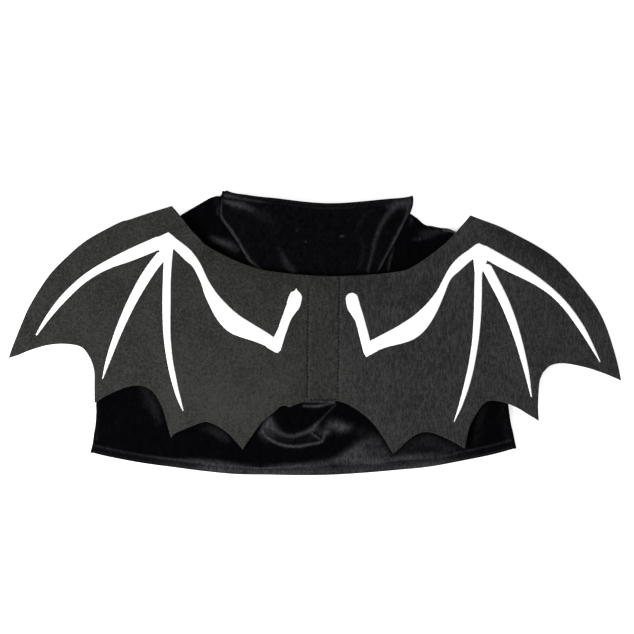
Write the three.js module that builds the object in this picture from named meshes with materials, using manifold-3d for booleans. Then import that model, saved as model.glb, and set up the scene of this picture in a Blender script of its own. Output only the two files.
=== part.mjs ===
import * as THREE from "three";
import { mergeVertices } from "three/addons/utils/BufferGeometryUtils.js";
import ManifoldModule from "manifold-3d";

// Bat wings for a pet: one felt wing panel with printed arm bones, sewn to the back of a velvet
// capelet that has a standing collar. The costume lies flat on its front with the wings on top.
// Millimetres, +Z up, +Y toward the collar, +X toward the right wing. While it is being built the
// middle of the felt neck edge is the origin; the finished group is moved to its bottom centre.

// Driving dimensions
const GAP = 0.3;
const FELT = 2;
const PRINT = 0.4;
const VELVET = 1.5;
const WING_TILT_DEG = -2.1;
const WING_SHIFT = -0.6;
const PRINT_OFFSET = { x: 2.2, y: -0.4, turnDeg: -0.35 };
const FELT_UNDERSIDE = 10.6;
const DROOP_START = 112;
const WING_REACH = 245;
const TIP_DROP = 9.6;
const DROOP_POWER = 1.7;
const WING_ROWS = 6;
const SIDE_ROLL = 2.6;
const COLLAR_ROLL = 2.4;
const ROLL_STEPS = 4;
const SIDE_SLOPE = 0.2;
const SIDE_PULL = 4;
const HEM_DEPTH = 4.4;
const HEM_RISE = 0.7;
const HEM_STEP = 1.2;
const SEAM_ROLL_RISE = 1.3;
const SEAM_ROLL_WIDTH = 3;
const FOLD_TAPER = 0.3;
const SEAM_END_LIFT = 0.42;
const WELD = 1e-4;

// Edges of one half of the felt. Each curve leaves its start along one direction and reaches its end
// along another (degrees, anticlockwise from outboard); the pulls are the handle lengths.
const WING_EDGES = {
  neck: { x0: 0, y0: 0, x1: 120, y1: 52, leave: 0, leavePull: 65, reach: 57, reachPull: 45 },
  lead: { x0: 120, y0: 52, x1: 245, y1: -74, leave: -16, leavePull: 74, reach: -75, reachPull: 76 },
  outer: { x0: 245, y0: -74, x1: 177, y1: -108, leave: 160, leavePull: 63, reach: -86, reachPull: 54 },
  second: { x0: 177, y0: -108, x1: 117, y1: -133, leave: 148, leavePull: 45, reach: 258, reachPull: 45 },
  third: { x0: 117, y0: -133, x1: 60, y1: -141, leave: 148, leavePull: 34, reach: 230, reachPull: 33 },
  middle: { x0: 60, y0: -141, x1: 0, y1: -99.5, leave: 124, leavePull: 34, reach: 180, reachPull: 30 },
};

// Felt bays from the outer tip to the middle: each scallop is paired with a stretch of the upper edge.
const WING_BAYS = [
  { scallop: "outer", upper: "lead", from: 1, to: 0.45, columns: 10 },
  { scallop: "second", upper: "lead", from: 0.45, to: 0, columns: 8 },
  { scallop: "third", upper: "neck", from: 1, to: 0.52, columns: 7 },
  { scallop: "middle", upper: "neck", from: 0.52, to: 0, columns: 8 },
];

// Printed bones of one wing: stations along each stroke with the width of the print there.
const BONE_STROKES = {
  upperArm: [
    { x: 22.3, y: -17.4, width: 10.2 },
    { x: 26.2, y: -27, width: 9 },
    { x: 29.4, y: -35, width: 7.6 },
    { x: 32.6, y: -46, width: 7.8 },
  ],
  forearm: [
    { x: 40, y: -54.4, width: 10 },
    { x: 48, y: -50.2, width: 10.8 },
    { x: 64, y: -43.2, width: 13 },
    { x: 80, y: -32, width: 13.5 },
    { x: 88.2, y: -21.5, width: 11.6 },
    { x: 94.2, y: -8.5, width: 7.2 },
    { x: 98.9, y: 1, width: 6.4 },
    { x: 105.5, y: 10, width: 8.3 },
    { x: 118, y: 21.6, width: 8.2 },
  ],
  firstFinger: [
    { x: 129, y: 22.8, width: 10.6 },
    { x: 148, y: 14.7, width: 10.5 },
    { x: 164, y: 7.1, width: 8.4 },
    { x: 178, y: -0.8, width: 6.5 },
    { x: 192, y: -11.9, width: 5.7 },
    { x: 208, y: -29.8, width: 5.7 },
    { x: 218, y: -44.5, width: 4 },
    { x: 225.6, y: -57.9, width: 1 },
  ],
  secondFinger: [
    { x: 128, y: 15, width: 8.6 },
    { x: 137.2, y: 0.8, width: 8.3 },
    { x: 146.5, y: -15.2, width: 7.8 },
    { x: 158.2, y: -43, width: 6 },
    { x: 166, y: -66, width: 4.6 },
    { x: 171.5, y: -88.9, width: 1 },
  ],
  thirdFinger: [
    { x: 123.6, y: 17, width: 7.4 },
    { x: 124.3, y: 0.8, width: 6.8 },
    { x: 124.4, y: -27, width: 6.6 },
    { x: 122.5, y: -55, width: 5.5 },
    { x: 118.7, y: -79, width: 5 },
    { x: 113.4, y: -98, width: 3.2 },
    { x: 108.3, y: -112, width: 1 },
  ],
};

// Corners of the flat areas where the strokes meet, and the round head of the upper arm.
const BONE_JOINTS = {
  elbow: [
    { x: 28.7, y: -44 },
    { x: 36, y: -62 },
    { x: 44.5, y: -58.2 },
    { x: 42, y: -48.4 },
    { x: 38, y: -49.7 },
    { x: 35.6, y: -44 },
  ],
  wrist: [
    { x: 112, y: 21.8 },
    { x: 124, y: 31 },
    { x: 136, y: 25.8 },
    { x: 131.9, y: 15.8 },
    { x: 127.5, y: 8 },
    { x: 122, y: 9 },
    { x: 120, y: 16.8 },
  ],
};
const BONE_HEAD = { x: 22.3, y: -17.2, radius: 5.3, facets: 20 };

// Capelet edges. The back panel runs from the hem curve to the neckline; the front panel under it is
// a little shorter at the hem and cut less deep at the neck. Both meet at the folded sides.
const HEM_PULL = { back: { x: -14, y: -180 }, front: { x: -14, y: -175 } };
const SIDE_FOLDS = [
  { leftX: -179.6, leftY: -141.2, rightX: 152.8, rightY: -138.6 },
  { leftX: -177.6, leftY: -118, rightX: 149.2, rightY: -117 },
  { leftX: -175.5, leftY: -88, rightX: 145, rightY: -88 },
  { leftX: -170, leftY: -50, rightX: 138.5, rightY: -50 },
  { leftX: -157, leftY: -5, rightX: 129, rightY: -12 },
  { leftX: -133, leftY: 33, rightX: 113, rightY: 25 },
  { leftX: -105, leftY: 51, rightX: 88, rightY: 36.5 },
  { leftX: -82, leftY: 59, rightX: 70.5, rightY: 46 },
];
const BACK_NECKLINE = [
  { x: -82, y: 59 },
  { x: -81, y: 46 },
  { x: -68, y: 31 },
  { x: -55, y: 12 },
  { x: -32, y: -3 },
  { x: 2, y: -9 },
  { x: 31, y: -8 },
  { x: 46, y: 4 },
  { x: 58, y: 26 },
  { x: 70.5, y: 46 },
];
const FRONT_NECKLINE = [
  { x: -82, y: 59 },
  { x: -55, y: 34 },
  { x: -8, y: 22 },
  { x: 45, y: 31 },
  { x: 70.5, y: 46 },
];
const COLLAR_TOP_LEFT = { x: -77, y: 67.4 };
const COLLAR_TOP_RIGHT = { x: 72, y: 63.6 };
const COLLAR_TOP_PULL = { back: { x: 5, y: 52.8 }, front: { x: 5, y: 49.8 } };

// Direction in which each folded side bulges (degrees), at the hem, the neck seam and the collar top.
const ROLL_DIRECTIONS = {
  left: { hem: 183, seam: 120, top: 155 },
  right: { hem: -3, seam: 52, top: 25 },
};

// Loft of the back panel over the floor: one row per station, from the hem (0) to the neck seam (1).
const CAPE_LOFT = [
  { station: 0, loft: 9.3 },
  { station: 0.3, loft: 9 },
  { station: 0.7, loft: 8.8 },
  { station: 1, loft: 8.2 },
];
const COLLAR_LOFT = [
  { station: 0, loft: 8.2 },
  { station: 0.5, loft: 9.4 },
  { station: 1, loft: 10 },
];

// Folds of the velvet: each runs along a curve from its start past a pull point to its end.
const CAPE_FOLDS = [
  { fold: "crescent", x0: -48, y0: -119, xp: -23, yp: -147, x1: 5, y1: -124, rise: 3.2, width: 4.4 },
  { fold: "upstroke", x0: -6, y0: -122, xp: 2, yp: -114, x1: 10, y1: -106, rise: 1.6, width: 3 },
  { fold: "side dome", x0: 12, y0: -117, xp: 19, yp: -120, x1: 25, y1: -121, rise: 1.5, width: 6 },
  { fold: "shoulder dent", x0: -96, y0: 34, xp: -84, yp: 28, x1: -70, y1: 22, rise: -1.4, width: 7 },
];
const COLLAR_FOLDS = [
  { fold: "inner crease", x0: 55, y0: 56, xp: 45, yp: 35, x1: 38, y1: 8, rise: 1.5, width: 4 },
  { fold: "faint crease", x0: 35, y0: 46, xp: 29, yp: 34, x1: 29, y1: 10, rise: 0.7, width: 4 },
];

// Columns across both back panels (u from the left fold to the right fold) and rows from edge to edge.
const BACK_COLUMNS = [{ to: 0.36, steps: 11 }, { to: 0.64, steps: 21 }, { to: 1, steps: 14 }];
const CAPE_ROWS = [
  { to: 0.03, steps: 2 },
  { to: 0.11, steps: 2 },
  { to: 0.38, steps: 10 },
  { to: 1, steps: 8 },
];
const COLLAR_ROWS = [{ to: 0.12, steps: 2 }, { to: 0.88, steps: 4 }, { to: 1, steps: 2 }];
const FRONT_COLUMNS = [{ to: 1, steps: 8 }];

const FINISHES = {
  felt: { color: 0x373836, roughness: 0.95, metalness: 0 },
  print: { color: 0xf6f6f4, roughness: 0.6, metalness: 0 },
  velvet: { color: 0x0b0b0e, roughness: 0.7, metalness: 0 },
};

// Gathers welded vertices and triangles; triangles that collapse at a point are left out.
class Facets {
  constructor() {
    this.positions = [];
    this.indices = [];
    this.known = new Map();
  }

  vertex(x, y, z) {
    const key = [x, y, z].map((value) => Math.round(value / WELD)).join(" ");
    if (!this.known.has(key)) {
      this.known.set(key, this.positions.length / 3);
      this.positions.push(x, y, z);
    }
    return this.known.get(key);
  }

  triangle(a, b, c) {
    if (a !== b && b !== c && c !== a) this.indices.push(a, b, c);
  }

  quad(a, b, c, d) {
    this.triangle(a, b, c);
    this.triangle(a, c, d);
  }

  geometry() {
    const geometry = new THREE.BufferGeometry();
    geometry.setAttribute("position", new THREE.Float32BufferAttribute(this.positions, 3));
    geometry.setIndex(this.indices);
    geometry.computeVertexNormals();
    return geometry;
  }
}

const { Manifold, Mesh: ManifoldMesh } = await loadManifold();

async function loadManifold() {
  const kernel = await ManifoldModule();
  kernel.setup();
  return kernel;
}

function direction(degrees) {
  const angle = THREE.MathUtils.degToRad(degrees);
  return new THREE.Vector2(Math.cos(angle), Math.sin(angle));
}

function ease(t) {
  return THREE.MathUtils.smoothstep(t, 0, 1);
}

function quadratic(start, pull, end) {
  return new THREE.QuadraticBezierCurve(
    new THREE.Vector2(start.x, start.y),
    new THREE.Vector2(pull.x, pull.y),
    new THREE.Vector2(end.x, end.y),
  );
}

function splineThrough(points) {
  return new THREE.SplineCurve(points.map(({ x, y }) => new THREE.Vector2(x, y)));
}

// Values from 0 to 1 with the given number of steps in each span.
function spread(spans) {
  const values = [0];
  for (const { to, steps } of spans) {
    const from = values[values.length - 1];
    for (let step = 1; step <= steps; step += 1) values.push(from + ((to - from) * step) / steps);
  }
  return values;
}

// Height read from a table of stations, eased between neighbouring rows.
function loftAt(table, station) {
  const upper = table.findIndex((row) => row.station >= station);
  if (upper <= 0) return table[0].loft;
  const low = table[upper - 1];
  const high = table[upper];
  const share = (station - low.station) / (high.station - low.station);
  return low.loft + (high.loft - low.loft) * ease(share);
}

// Felt panel

function wingEdge(name) {
  const edge = WING_EDGES[name];
  const start = new THREE.Vector2(edge.x0, edge.y0);
  const end = new THREE.Vector2(edge.x1, edge.y1);
  const startPull = start.clone().addScaledVector(direction(edge.leave), edge.leavePull);
  const endPull = end.clone().addScaledVector(direction(edge.reach), -edge.reachPull);
  return new THREE.CubicBezierCurve(start, startPull, endPull, end);
}

// Underside of the felt: flat where the capelet carries it, then sinking to the floor at the tips.
function feltUnderside(x) {
  const share = Math.max(0, (Math.abs(x) - DROOP_START) / (WING_REACH - DROOP_START));
  return FELT_UNDERSIDE - TIP_DROP * share ** DROOP_POWER;
}

// Pairs of lower and upper outline points of the right half, from the outer tip to the middle.
function halfColumns() {
  const columns = [];
  for (const bay of WING_BAYS) {
    const scallop = wingEdge(bay.scallop);
    const upper = wingEdge(bay.upper);
    for (let step = columns.length ? 1 : 0; step <= bay.columns; step += 1) {
      const share = step / bay.columns;
      const along = bay.from + (bay.to - bay.from) * share;
      columns.push({ lower: scallop.getPoint(share), upper: upper.getPoint(along) });
    }
  }
  return columns;
}

function mirrored(column) {
  return {
    lower: new THREE.Vector2(-column.lower.x, column.lower.y),
    upper: new THREE.Vector2(-column.upper.x, column.upper.y),
  };
}

// Closed sheet between columns of lower and upper points, with its underside given as a height.
function sheet(columns, rows, thickness, underside) {
  const facets = new Facets();
  const grid = columns.map(({ lower, upper }) =>
    Array.from({ length: rows + 1 }, (_, row) => {
      const { x, y } = lower.clone().lerp(upper, row / rows);
      const z = underside(x, y);
      return { top: facets.vertex(x, y, z + thickness), under: facets.vertex(x, y, z) };
    }),
  );
  const last = grid.length - 1;
  for (let i = 0; i < last; i += 1) {
    for (let j = 0; j < rows; j += 1) {
      const [a, b, c, d] = [grid[i][j], grid[i + 1][j], grid[i + 1][j + 1], grid[i][j + 1]];
      facets.quad(a.top, b.top, c.top, d.top);
      facets.quad(d.under, c.under, b.under, a.under);
    }
    const [a, b, c, d] = [grid[i][0], grid[i + 1][0], grid[i + 1][rows], grid[i][rows]];
    facets.quad(a.under, b.under, b.top, a.top);
    facets.quad(c.under, d.under, d.top, c.top);
  }
  for (let j = 0; j < rows; j += 1) {
    const [a, d] = [grid[0][j], grid[0][j + 1]];
    const [b, c] = [grid[last][j], grid[last][j + 1]];
    facets.quad(d.under, a.under, a.top, d.top);
    facets.quad(b.under, c.under, c.top, b.top);
  }
  return facets.geometry();
}

function wingPanel() {
  const right = halfColumns();
  const left = right.map(mirrored);
  return sheet([...left, ...right.slice(0, -1).reverse()], WING_ROWS, FELT, feltUnderside);
}

// Printed bones

function toManifold(geometry) {
  const bare = geometry.clone();
  bare.deleteAttribute("normal");
  bare.deleteAttribute("uv");
  const merged = mergeVertices(bare, WELD);
  const triVerts = new Uint32Array(merged.index.array);
  const vertProperties = new Float32Array(merged.attributes.position.array);
  return new Manifold(new ManifoldMesh({ numProp: 3, triVerts, vertProperties }));
}

function fromManifold(solid) {
  const { numProp, vertProperties, triVerts } = solid.getMesh();
  const facets = new Facets();
  const ids = [];
  for (let i = 0; i < vertProperties.length; i += numProp) {
    ids.push(facets.vertex(vertProperties[i], vertProperties[i + 1], vertProperties[i + 2]));
  }
  for (let t = 0; t < triVerts.length; t += 3) {
    facets.triangle(ids[triVerts[t]], ids[triVerts[t + 1]], ids[triVerts[t + 2]]);
  }
  return facets.geometry();
}

// Flat ribbon along a stroke: the third coordinate of the guiding curve is the width.
function boneStroke(stations, side) {
  const guide = new THREE.CatmullRomCurve3(
    stations.map(({ x, y, width }) => new THREE.Vector3(x, y, width)),
    false,
    "centripetal",
  );
  const samples = 2 * (stations.length - 1);
  const columns = guide.getPoints(samples).map((point, i) => {
    const travel = guide.getTangent(i / samples);
    const across = new THREE.Vector2(-travel.y, travel.x).normalize().multiplyScalar(point.z / 2);
    const middle = new THREE.Vector2(point.x, point.y);
    return { lower: middle.clone().sub(across), upper: middle.clone().add(across) };
  });
  return sheet(side > 0 ? columns : columns.map(mirrored).reverse(), 1, PRINT, () => 0);
}

function bonePlate(corners, side) {
  const outline = new THREE.Shape(corners.map(({ x, y }) => new THREE.Vector2(side * x, y)));
  return new THREE.ExtrudeGeometry(outline, { depth: PRINT, bevelEnabled: false });
}

function boneHead(side) {
  const disc = new THREE.CylinderGeometry(BONE_HEAD.radius, BONE_HEAD.radius, PRINT, BONE_HEAD.facets);
  disc.rotateX(Math.PI / 2);
  return disc.translate(side * BONE_HEAD.x, BONE_HEAD.y, PRINT / 2);
}

// One continuous print, joined flat and then laid on the felt; side is 1 for the right wing, -1 for left.
function wingBones(side) {
  const strokes = Object.values(BONE_STROKES).map((stations) => boneStroke(stations, side));
  const plates = Object.values(BONE_JOINTS).map((corners) => bonePlate(corners, side));
  const pieces = [...strokes, ...plates, boneHead(side)].map(toManifold);
  const geometry = fromManifold(pieces.reduce((print, piece) => print.add(piece)));
  geometry.rotateZ(THREE.MathUtils.degToRad(PRINT_OFFSET.turnDeg));
  geometry.translate(PRINT_OFFSET.x, PRINT_OFFSET.y, 0);
  const position = geometry.attributes.position;
  for (let i = 0; i < position.count; i += 1) {
    const base = feltUnderside(position.getX(i)) + FELT + GAP;
    position.setZ(i, base + position.getZ(i));
  }
  geometry.computeVertexNormals();
  return geometry;
}

// Capelet and collar

// Rise of the folds at a point: a rounded ridge (or a dent) beside each fold curve, tapered at its ends.
function foldRise(folds, x, y) {
  const point = new THREE.Vector2(x, y);
  const steps = 24;
  return folds.reduce((total, fold) => {
    const [start, end] = [{ x: fold.x0, y: fold.y0 }, { x: fold.x1, y: fold.y1 }];
    const curve = quadratic(start, { x: fold.xp, y: fold.yp }, end);
    const distances = curve.getPoints(steps).map((sample) => sample.distanceTo(point));
    const nearest = Math.min(...distances);
    const share = distances.indexOf(nearest) / steps;
    const taper = ease(share / FOLD_TAPER) * ease((1 - share) / FOLD_TAPER);
    return total + fold.rise * taper * Math.exp(-((nearest / fold.width) ** 2));
  }, 0);
}

// Share of the loft that is left near the folded sides.
function sideShare(u) {
  return ease(u / SIDE_SLOPE) * ease((1 - u) / SIDE_SLOPE);
}

// Point of a panel between its lower and upper edge. Rows run straight from edge to edge in the
// middle, and near the sides they are drawn out to the folded side lines.
function panelPoint(panel, u, v) {
  const point = panel.low.getPoint(u).lerp(panel.high.getPoint(u), v);
  if (!panel.sides) return point;
  const end = u < 0.5 ? 0 : 1;
  const side = (end ? panel.sides.right : panel.sides.left).getPoint(v);
  const straight = panel.low.getPoint(end).lerp(panel.high.getPoint(end), v);
  return point.addScaledVector(side.sub(straight), Math.abs(2 * u - 1) ** SIDE_PULL);
}

// One closed ring of a flattened tube: over the back panel, round the right fold, under the front
// panel and round the left fold. The outer points are the face of the cloth, the inner its lining.
function tubeRing(tube, v) {
  const outer = [];
  const inner = [];
  const roll = tube.roll;
  const loft = loftAt(tube.loft, v);
  for (const u of spread(BACK_COLUMNS)) {
    const { x, y } = panelPoint(tube.back, u, v);
    const slope = sideShare(u);
    const base = 2 * roll + (loft - 2 * roll) * slope + slope * foldRise(tube.folds, x, y);
    outer.push(new THREE.Vector3(x, y, base + tube.trim(u, v)));
    inner.push(new THREE.Vector3(x, y, base - VELVET));
  }
  addRoll(tube, v, 1, outer, inner);
  for (const u of spread(FRONT_COLUMNS).reverse()) {
    const { x, y } = panelPoint(tube.front, u, v);
    outer.push(new THREE.Vector3(x, y, 0));
    inner.push(new THREE.Vector3(x, y, VELVET));
  }
  addRoll(tube, v, 0, outer, inner);
  return { outer, inner };
}

// Half round of a folded side between the two panels (u is 1 at the right fold, 0 at the left).
function addRoll(tube, v, u, outer, inner) {
  const turn = u === 1 ? tube.turns.right : tube.turns.left;
  const way = direction(turn.from + (turn.to - turn.from) * v);
  const { x, y } = panelPoint(tube.back, u, v);
  for (let step = 1; step < ROLL_STEPS; step += 1) {
    const angle = (Math.PI * step) / ROLL_STEPS;
    const rise = u === 1 ? Math.cos(angle) : -Math.cos(angle);
    for (const [points, radius] of [[outer, tube.roll], [inner, tube.roll - VELVET]]) {
      const reach = radius * Math.sin(angle);
      points.push(new THREE.Vector3(x + way.x * reach, y + way.y * reach, tube.roll + radius * rise));
    }
  }
}

// Closed wall through the rings: face, lining and the two open rims.
function tubeWall(tube) {
  const facets = new Facets();
  const place = (points) => points.map(({ x, y, z }) => facets.vertex(x, y, z));
  const rings = spread(tube.rows).map((v) => {
    const ring = tubeRing(tube, v);
    return { outer: place(ring.outer), inner: place(ring.inner) };
  });
  const count = rings[0].outer.length;
  const top = rings[rings.length - 1];
  for (let m = 0; m < count; m += 1) {
    const n = (m + 1) % count;
    for (let k = 0; k + 1 < rings.length; k += 1) {
      const [low, high] = [rings[k], rings[k + 1]];
      facets.quad(low.outer[m], low.outer[n], high.outer[n], high.outer[m]);
      facets.quad(high.inner[m], high.inner[n], low.inner[n], low.inner[m]);
    }
    facets.quad(rings[0].inner[m], rings[0].inner[n], rings[0].outer[n], rings[0].outer[m]);
    facets.quad(top.outer[m], top.outer[n], top.inner[n], top.inner[m]);
  }
  return facets.geometry();
}

// Neckline moved by a gap toward the collar, so that the two cloths stay apart at their seam; at the
// folded sides, where the seam turns under, it is lifted straight up the collar.
function neckline(points, gap) {
  const curve = splineThrough(points);
  const last = points.length - 1;
  const moved = points.map(({ x, y }, i) => {
    if (i === 0 || i === last) return { x, y: y + (gap > 0 ? SEAM_END_LIFT : 0) };
    const travel = curve.getTangent(i / last);
    return { x: x - travel.y * gap, y: y + travel.x * gap };
  });
  return splineThrough(moved);
}

// Rise of a turned edge: full along its depth, stepping down at the stitch line.
function turnedEdge(distance) {
  return HEM_RISE * (1 - ease((distance - HEM_DEPTH) / HEM_STEP + 0.5));
}

function capelet() {
  const sides = {
    left: splineThrough(SIDE_FOLDS.map(({ leftX, leftY }) => ({ x: leftX, y: leftY }))),
    right: splineThrough(SIDE_FOLDS.map(({ rightX, rightY }) => ({ x: rightX, y: rightY }))),
  };
  const [hemLeft, hemRight] = [sides.left.getPoint(0), sides.right.getPoint(0)];
  const hem = quadratic(hemLeft, HEM_PULL.back, hemRight);
  const neck = neckline(BACK_NECKLINE, 0);
  const length = neck.getPoint(0.5).distanceTo(hem.getPoint(0.5));
  return tubeWall({
    back: { low: hem, high: neck, sides },
    front: { low: quadratic(hemLeft, HEM_PULL.front, hemRight), high: neckline(FRONT_NECKLINE, 0), sides },
    turns: {
      left: { from: ROLL_DIRECTIONS.left.hem, to: ROLL_DIRECTIONS.left.seam },
      right: { from: ROLL_DIRECTIONS.right.hem, to: ROLL_DIRECTIONS.right.seam },
    },
    roll: SIDE_ROLL,
    loft: CAPE_LOFT,
    folds: CAPE_FOLDS,
    rows: CAPE_ROWS,
    trim: (u, v) => turnedEdge(length * v),
  });
}

function collar() {
  const top = quadratic(COLLAR_TOP_LEFT, COLLAR_TOP_PULL.back, COLLAR_TOP_RIGHT);
  const seam = neckline(BACK_NECKLINE, GAP);
  const depth = top.getPoint(0.5).distanceTo(seam.getPoint(0.5));
  return tubeWall({
    back: { low: seam, high: top },
    front: {
      low: neckline(FRONT_NECKLINE, GAP),
      high: quadratic(COLLAR_TOP_LEFT, COLLAR_TOP_PULL.front, COLLAR_TOP_RIGHT),
    },
    turns: {
      left: { from: ROLL_DIRECTIONS.left.seam, to: ROLL_DIRECTIONS.left.top },
      right: { from: ROLL_DIRECTIONS.right.seam, to: ROLL_DIRECTIONS.right.top },
    },
    roll: COLLAR_ROLL,
    loft: COLLAR_LOFT,
    folds: COLLAR_FOLDS,
    rows: COLLAR_ROWS,
    trim: (u, v) => {
      const seamRoll = SEAM_ROLL_RISE * Math.exp(-(((depth * v) / SEAM_ROLL_WIDTH) ** 2));
      return seamRoll * sideShare(u) + turnedEdge(depth * (1 - v));
    },
  });
}

// Assembly

function piece(name, geometry, finish) {
  const mesh = new THREE.Mesh(geometry, new THREE.MeshStandardMaterial(FINISHES[finish]));
  mesh.name = name;
  return mesh;
}

function batWings() {
  const garment = new THREE.Group();
  garment.name = "garment";
  garment.add(piece("cape_body", capelet(), "velvet"));
  garment.add(piece("collar", collar(), "velvet"));

  const wings = new THREE.Group();
  wings.name = "wing_set";
  wings.position.x = WING_SHIFT;
  wings.rotation.z = THREE.MathUtils.degToRad(WING_TILT_DEG);
  wings.add(piece("wings", wingPanel(), "felt"));
  wings.add(piece("left_bones", wingBones(-1), "print"));
  wings.add(piece("right_bones", wingBones(1), "print"));

  const costume = new THREE.Group();
  costume.name = "bat_wings";
  costume.add(garment, wings);
  costume.updateMatrixWorld(true);
  const box = new THREE.Box3().setFromObject(costume, true);
  const centre = box.getCenter(new THREE.Vector3());
  costume.position.set(-centre.x, -centre.y, -box.min.z);
  costume.updateMatrixWorld(true);
  return costume;
}

export default batWings();
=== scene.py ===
"""Looks of the pet bat wings: felt wings with printed arm bones, sewn to a velvet capelet with a collar.

Lengths are millimetres in the cutting frame, whose origin is the middle of the felt neck edge, until a
mesh is made. The photograph's pixels are turned into that frame by Layout.
"""

import logging
import math
from dataclasses import dataclass
from enum import Enum

import bmesh
import bpy
import numpy as np
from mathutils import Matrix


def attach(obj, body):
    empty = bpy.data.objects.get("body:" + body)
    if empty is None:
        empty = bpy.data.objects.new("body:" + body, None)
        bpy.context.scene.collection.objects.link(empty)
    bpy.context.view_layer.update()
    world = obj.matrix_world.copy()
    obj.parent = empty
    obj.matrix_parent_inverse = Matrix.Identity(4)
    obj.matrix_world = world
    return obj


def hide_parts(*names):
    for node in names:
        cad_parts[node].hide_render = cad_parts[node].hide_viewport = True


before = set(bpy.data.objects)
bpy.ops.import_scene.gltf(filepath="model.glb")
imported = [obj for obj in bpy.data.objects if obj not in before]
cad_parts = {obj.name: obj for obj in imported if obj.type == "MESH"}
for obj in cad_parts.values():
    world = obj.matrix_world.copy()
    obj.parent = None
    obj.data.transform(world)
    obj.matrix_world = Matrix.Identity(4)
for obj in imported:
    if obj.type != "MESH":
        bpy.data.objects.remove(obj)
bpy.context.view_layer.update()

Array = np.ndarray
Piece = bpy.types.Object
Material = bpy.types.Material
Colour = tuple[float, float, float, float]
Spans = tuple[tuple[float, int], ...]
Stations = tuple[tuple[float, ...], ...]
LOG = logging.getLogger("bat_wings")
MM = 0.001
BODY = "root"
TINY = 1e-6
MERGE_DISTANCE = 2e-6
DISTANCES_AT_ONCE = 4_000_000
LEAST_SAMPLES = 8


class Side(Enum):
    """The two wings."""

    LEFT = "left"
    RIGHT = "right"


class Hold(Enum):
    """How a sheet of cloth is held."""

    LAID = "laid"
    FOLDED = "folded"


class Slot(Enum):
    """Material slots."""

    VELVET = "velvet"
    FELT = "felt"
    PRINT = "print"


# Curves and fields


def ease(share: Array) -> Array:
    """Smooth step: 3t^2 - 2t^3 of the share held between 0 and 1."""
    held = np.clip(share, 0.0, 1.0)
    return held * held * (3.0 - 2.0 * held)


def bell(way: Array, width: Array | float, power: float = 2.0) -> Array:
    """Bell curve: exp(-(way / width)^power)."""
    return np.exp(-((way / width) ** power))


def heading(degrees: Array) -> Array:
    """Unit vectors at the given angles, anticlockwise from +X."""
    angle = np.radians(degrees)
    return np.stack([np.cos(angle), np.sin(angle)], axis=-1)


def spline(stations: Array, t: Array) -> Array:
    """Uniform Catmull-Rom curve: a cubic between stations whose slopes are half the neighbours' difference.

    Args:
        stations: Points that the curve passes, one row each, with any number of columns.
        t: Shares of the curve from 0 to 1.

    Returns:
        One row for each share.
    """
    rows = np.asarray(stations, float)
    last = len(rows) - 1
    place = np.clip(t, 0.0, 1.0) * last
    start = np.minimum(place.astype(int), last - 1)
    w = (place - start)[:, None]
    before, near = rows[np.maximum(start - 1, 0)], rows[start]
    far, after = rows[start + 1], rows[np.minimum(start + 2, last)]
    leave, reach = (far - before) / 2.0, (after - near) / 2.0
    cubic = 2.0 * near - 2.0 * far + leave + reach
    square = -3.0 * near + 3.0 * far - 2.0 * leave - reach
    return ((cubic * w + square) * w + leave) * w + near


def spread(spans: Spans) -> Array:
    """Shares from 0 to 1 with a number of even steps up to the end of each span.

    Args:
        spans: The end of each span and its number of steps.

    Returns:
        The shares in order.
    """
    values = [np.zeros(1)]
    for end, steps in spans:
        values.append(np.linspace(values[-1][-1], end, steps + 1)[1:])
    return np.concatenate(values)


def path_travel(path: Array) -> Array:
    """Way along a path of straight steps to each of its points."""
    return np.concatenate([[0.0], np.cumsum(np.linalg.norm(np.diff(path, axis=0), axis=1))])


def path_points(path: Array, ways: Array) -> Array:
    """Points of a path of straight steps at the given ways along it."""
    travel = path_travel(path)
    return np.stack([np.interp(ways, travel, column) for column in path.T], axis=1)


def nearest(points: Array, samples: Array) -> tuple[Array, Array]:
    """Distance from each point to the closest sample, and that sample's row.

    Args:
        points: Points in the plane, one row each.
        samples: Points in the plane to measure to.

    Returns:
        Distances and row numbers, one for each point.
    """
    block = max(1, DISTANCES_AT_ONCE // len(samples))
    distances, rows = [], []
    for start in range(0, len(points), block):
        part = points[start : start + block]
        square = ((part[:, None, :] - samples[None, :, :]) ** 2).sum(axis=2)
        row = square.argmin(axis=1)
        rows.append(row)
        distances.append(np.sqrt(square[np.arange(len(part)), row]))
    return np.concatenate(distances), np.concatenate(rows)


def in_box(points: Array, line: Array, margin: float) -> Array:
    """Row numbers of the points in the box round a line, widened by a margin."""
    low, high = line.min(axis=0) - margin, line.max(axis=0) + margin
    return np.flatnonzero(((points > low) & (points < high)).all(axis=1))


def polygon_distance(points: Array, corners: Array) -> Array:
    """Signed distance to a polygon.

    It is the distance to the closest edge, negative where a ray crosses the edges an odd number of times.

    Args:
        points: Points in the plane, one row each.
        corners: Corners of the polygon, in order.

    Returns:
        One distance for each point.
    """
    close = np.full(len(points), np.inf)
    inside = np.zeros(len(points), bool)
    for start, end in zip(corners, np.roll(corners, -1, axis=0)):
        along = end - start
        share = np.clip(((points - start) @ along) / (along @ along), 0.0, 1.0)
        close = np.minimum(close, np.linalg.norm(points - start - share[:, None] * along, axis=1))
        spans = (start[1] > points[:, 1]) != (end[1] > points[:, 1])
        rise = along[1] if along[1] else 1.0
        inside ^= spans & (points[:, 0] < start[0] + along[0] * (points[:, 1] - start[1]) / rise)
    return np.where(inside, -close, close)


def quarters(grid: Array) -> Array:
    """The values at the four corners of each cell of a grid, as four grids."""
    return np.stack([grid[:-1, :-1], grid[1:, :-1], grid[:-1, 1:], grid[1:, 1:]])


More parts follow.
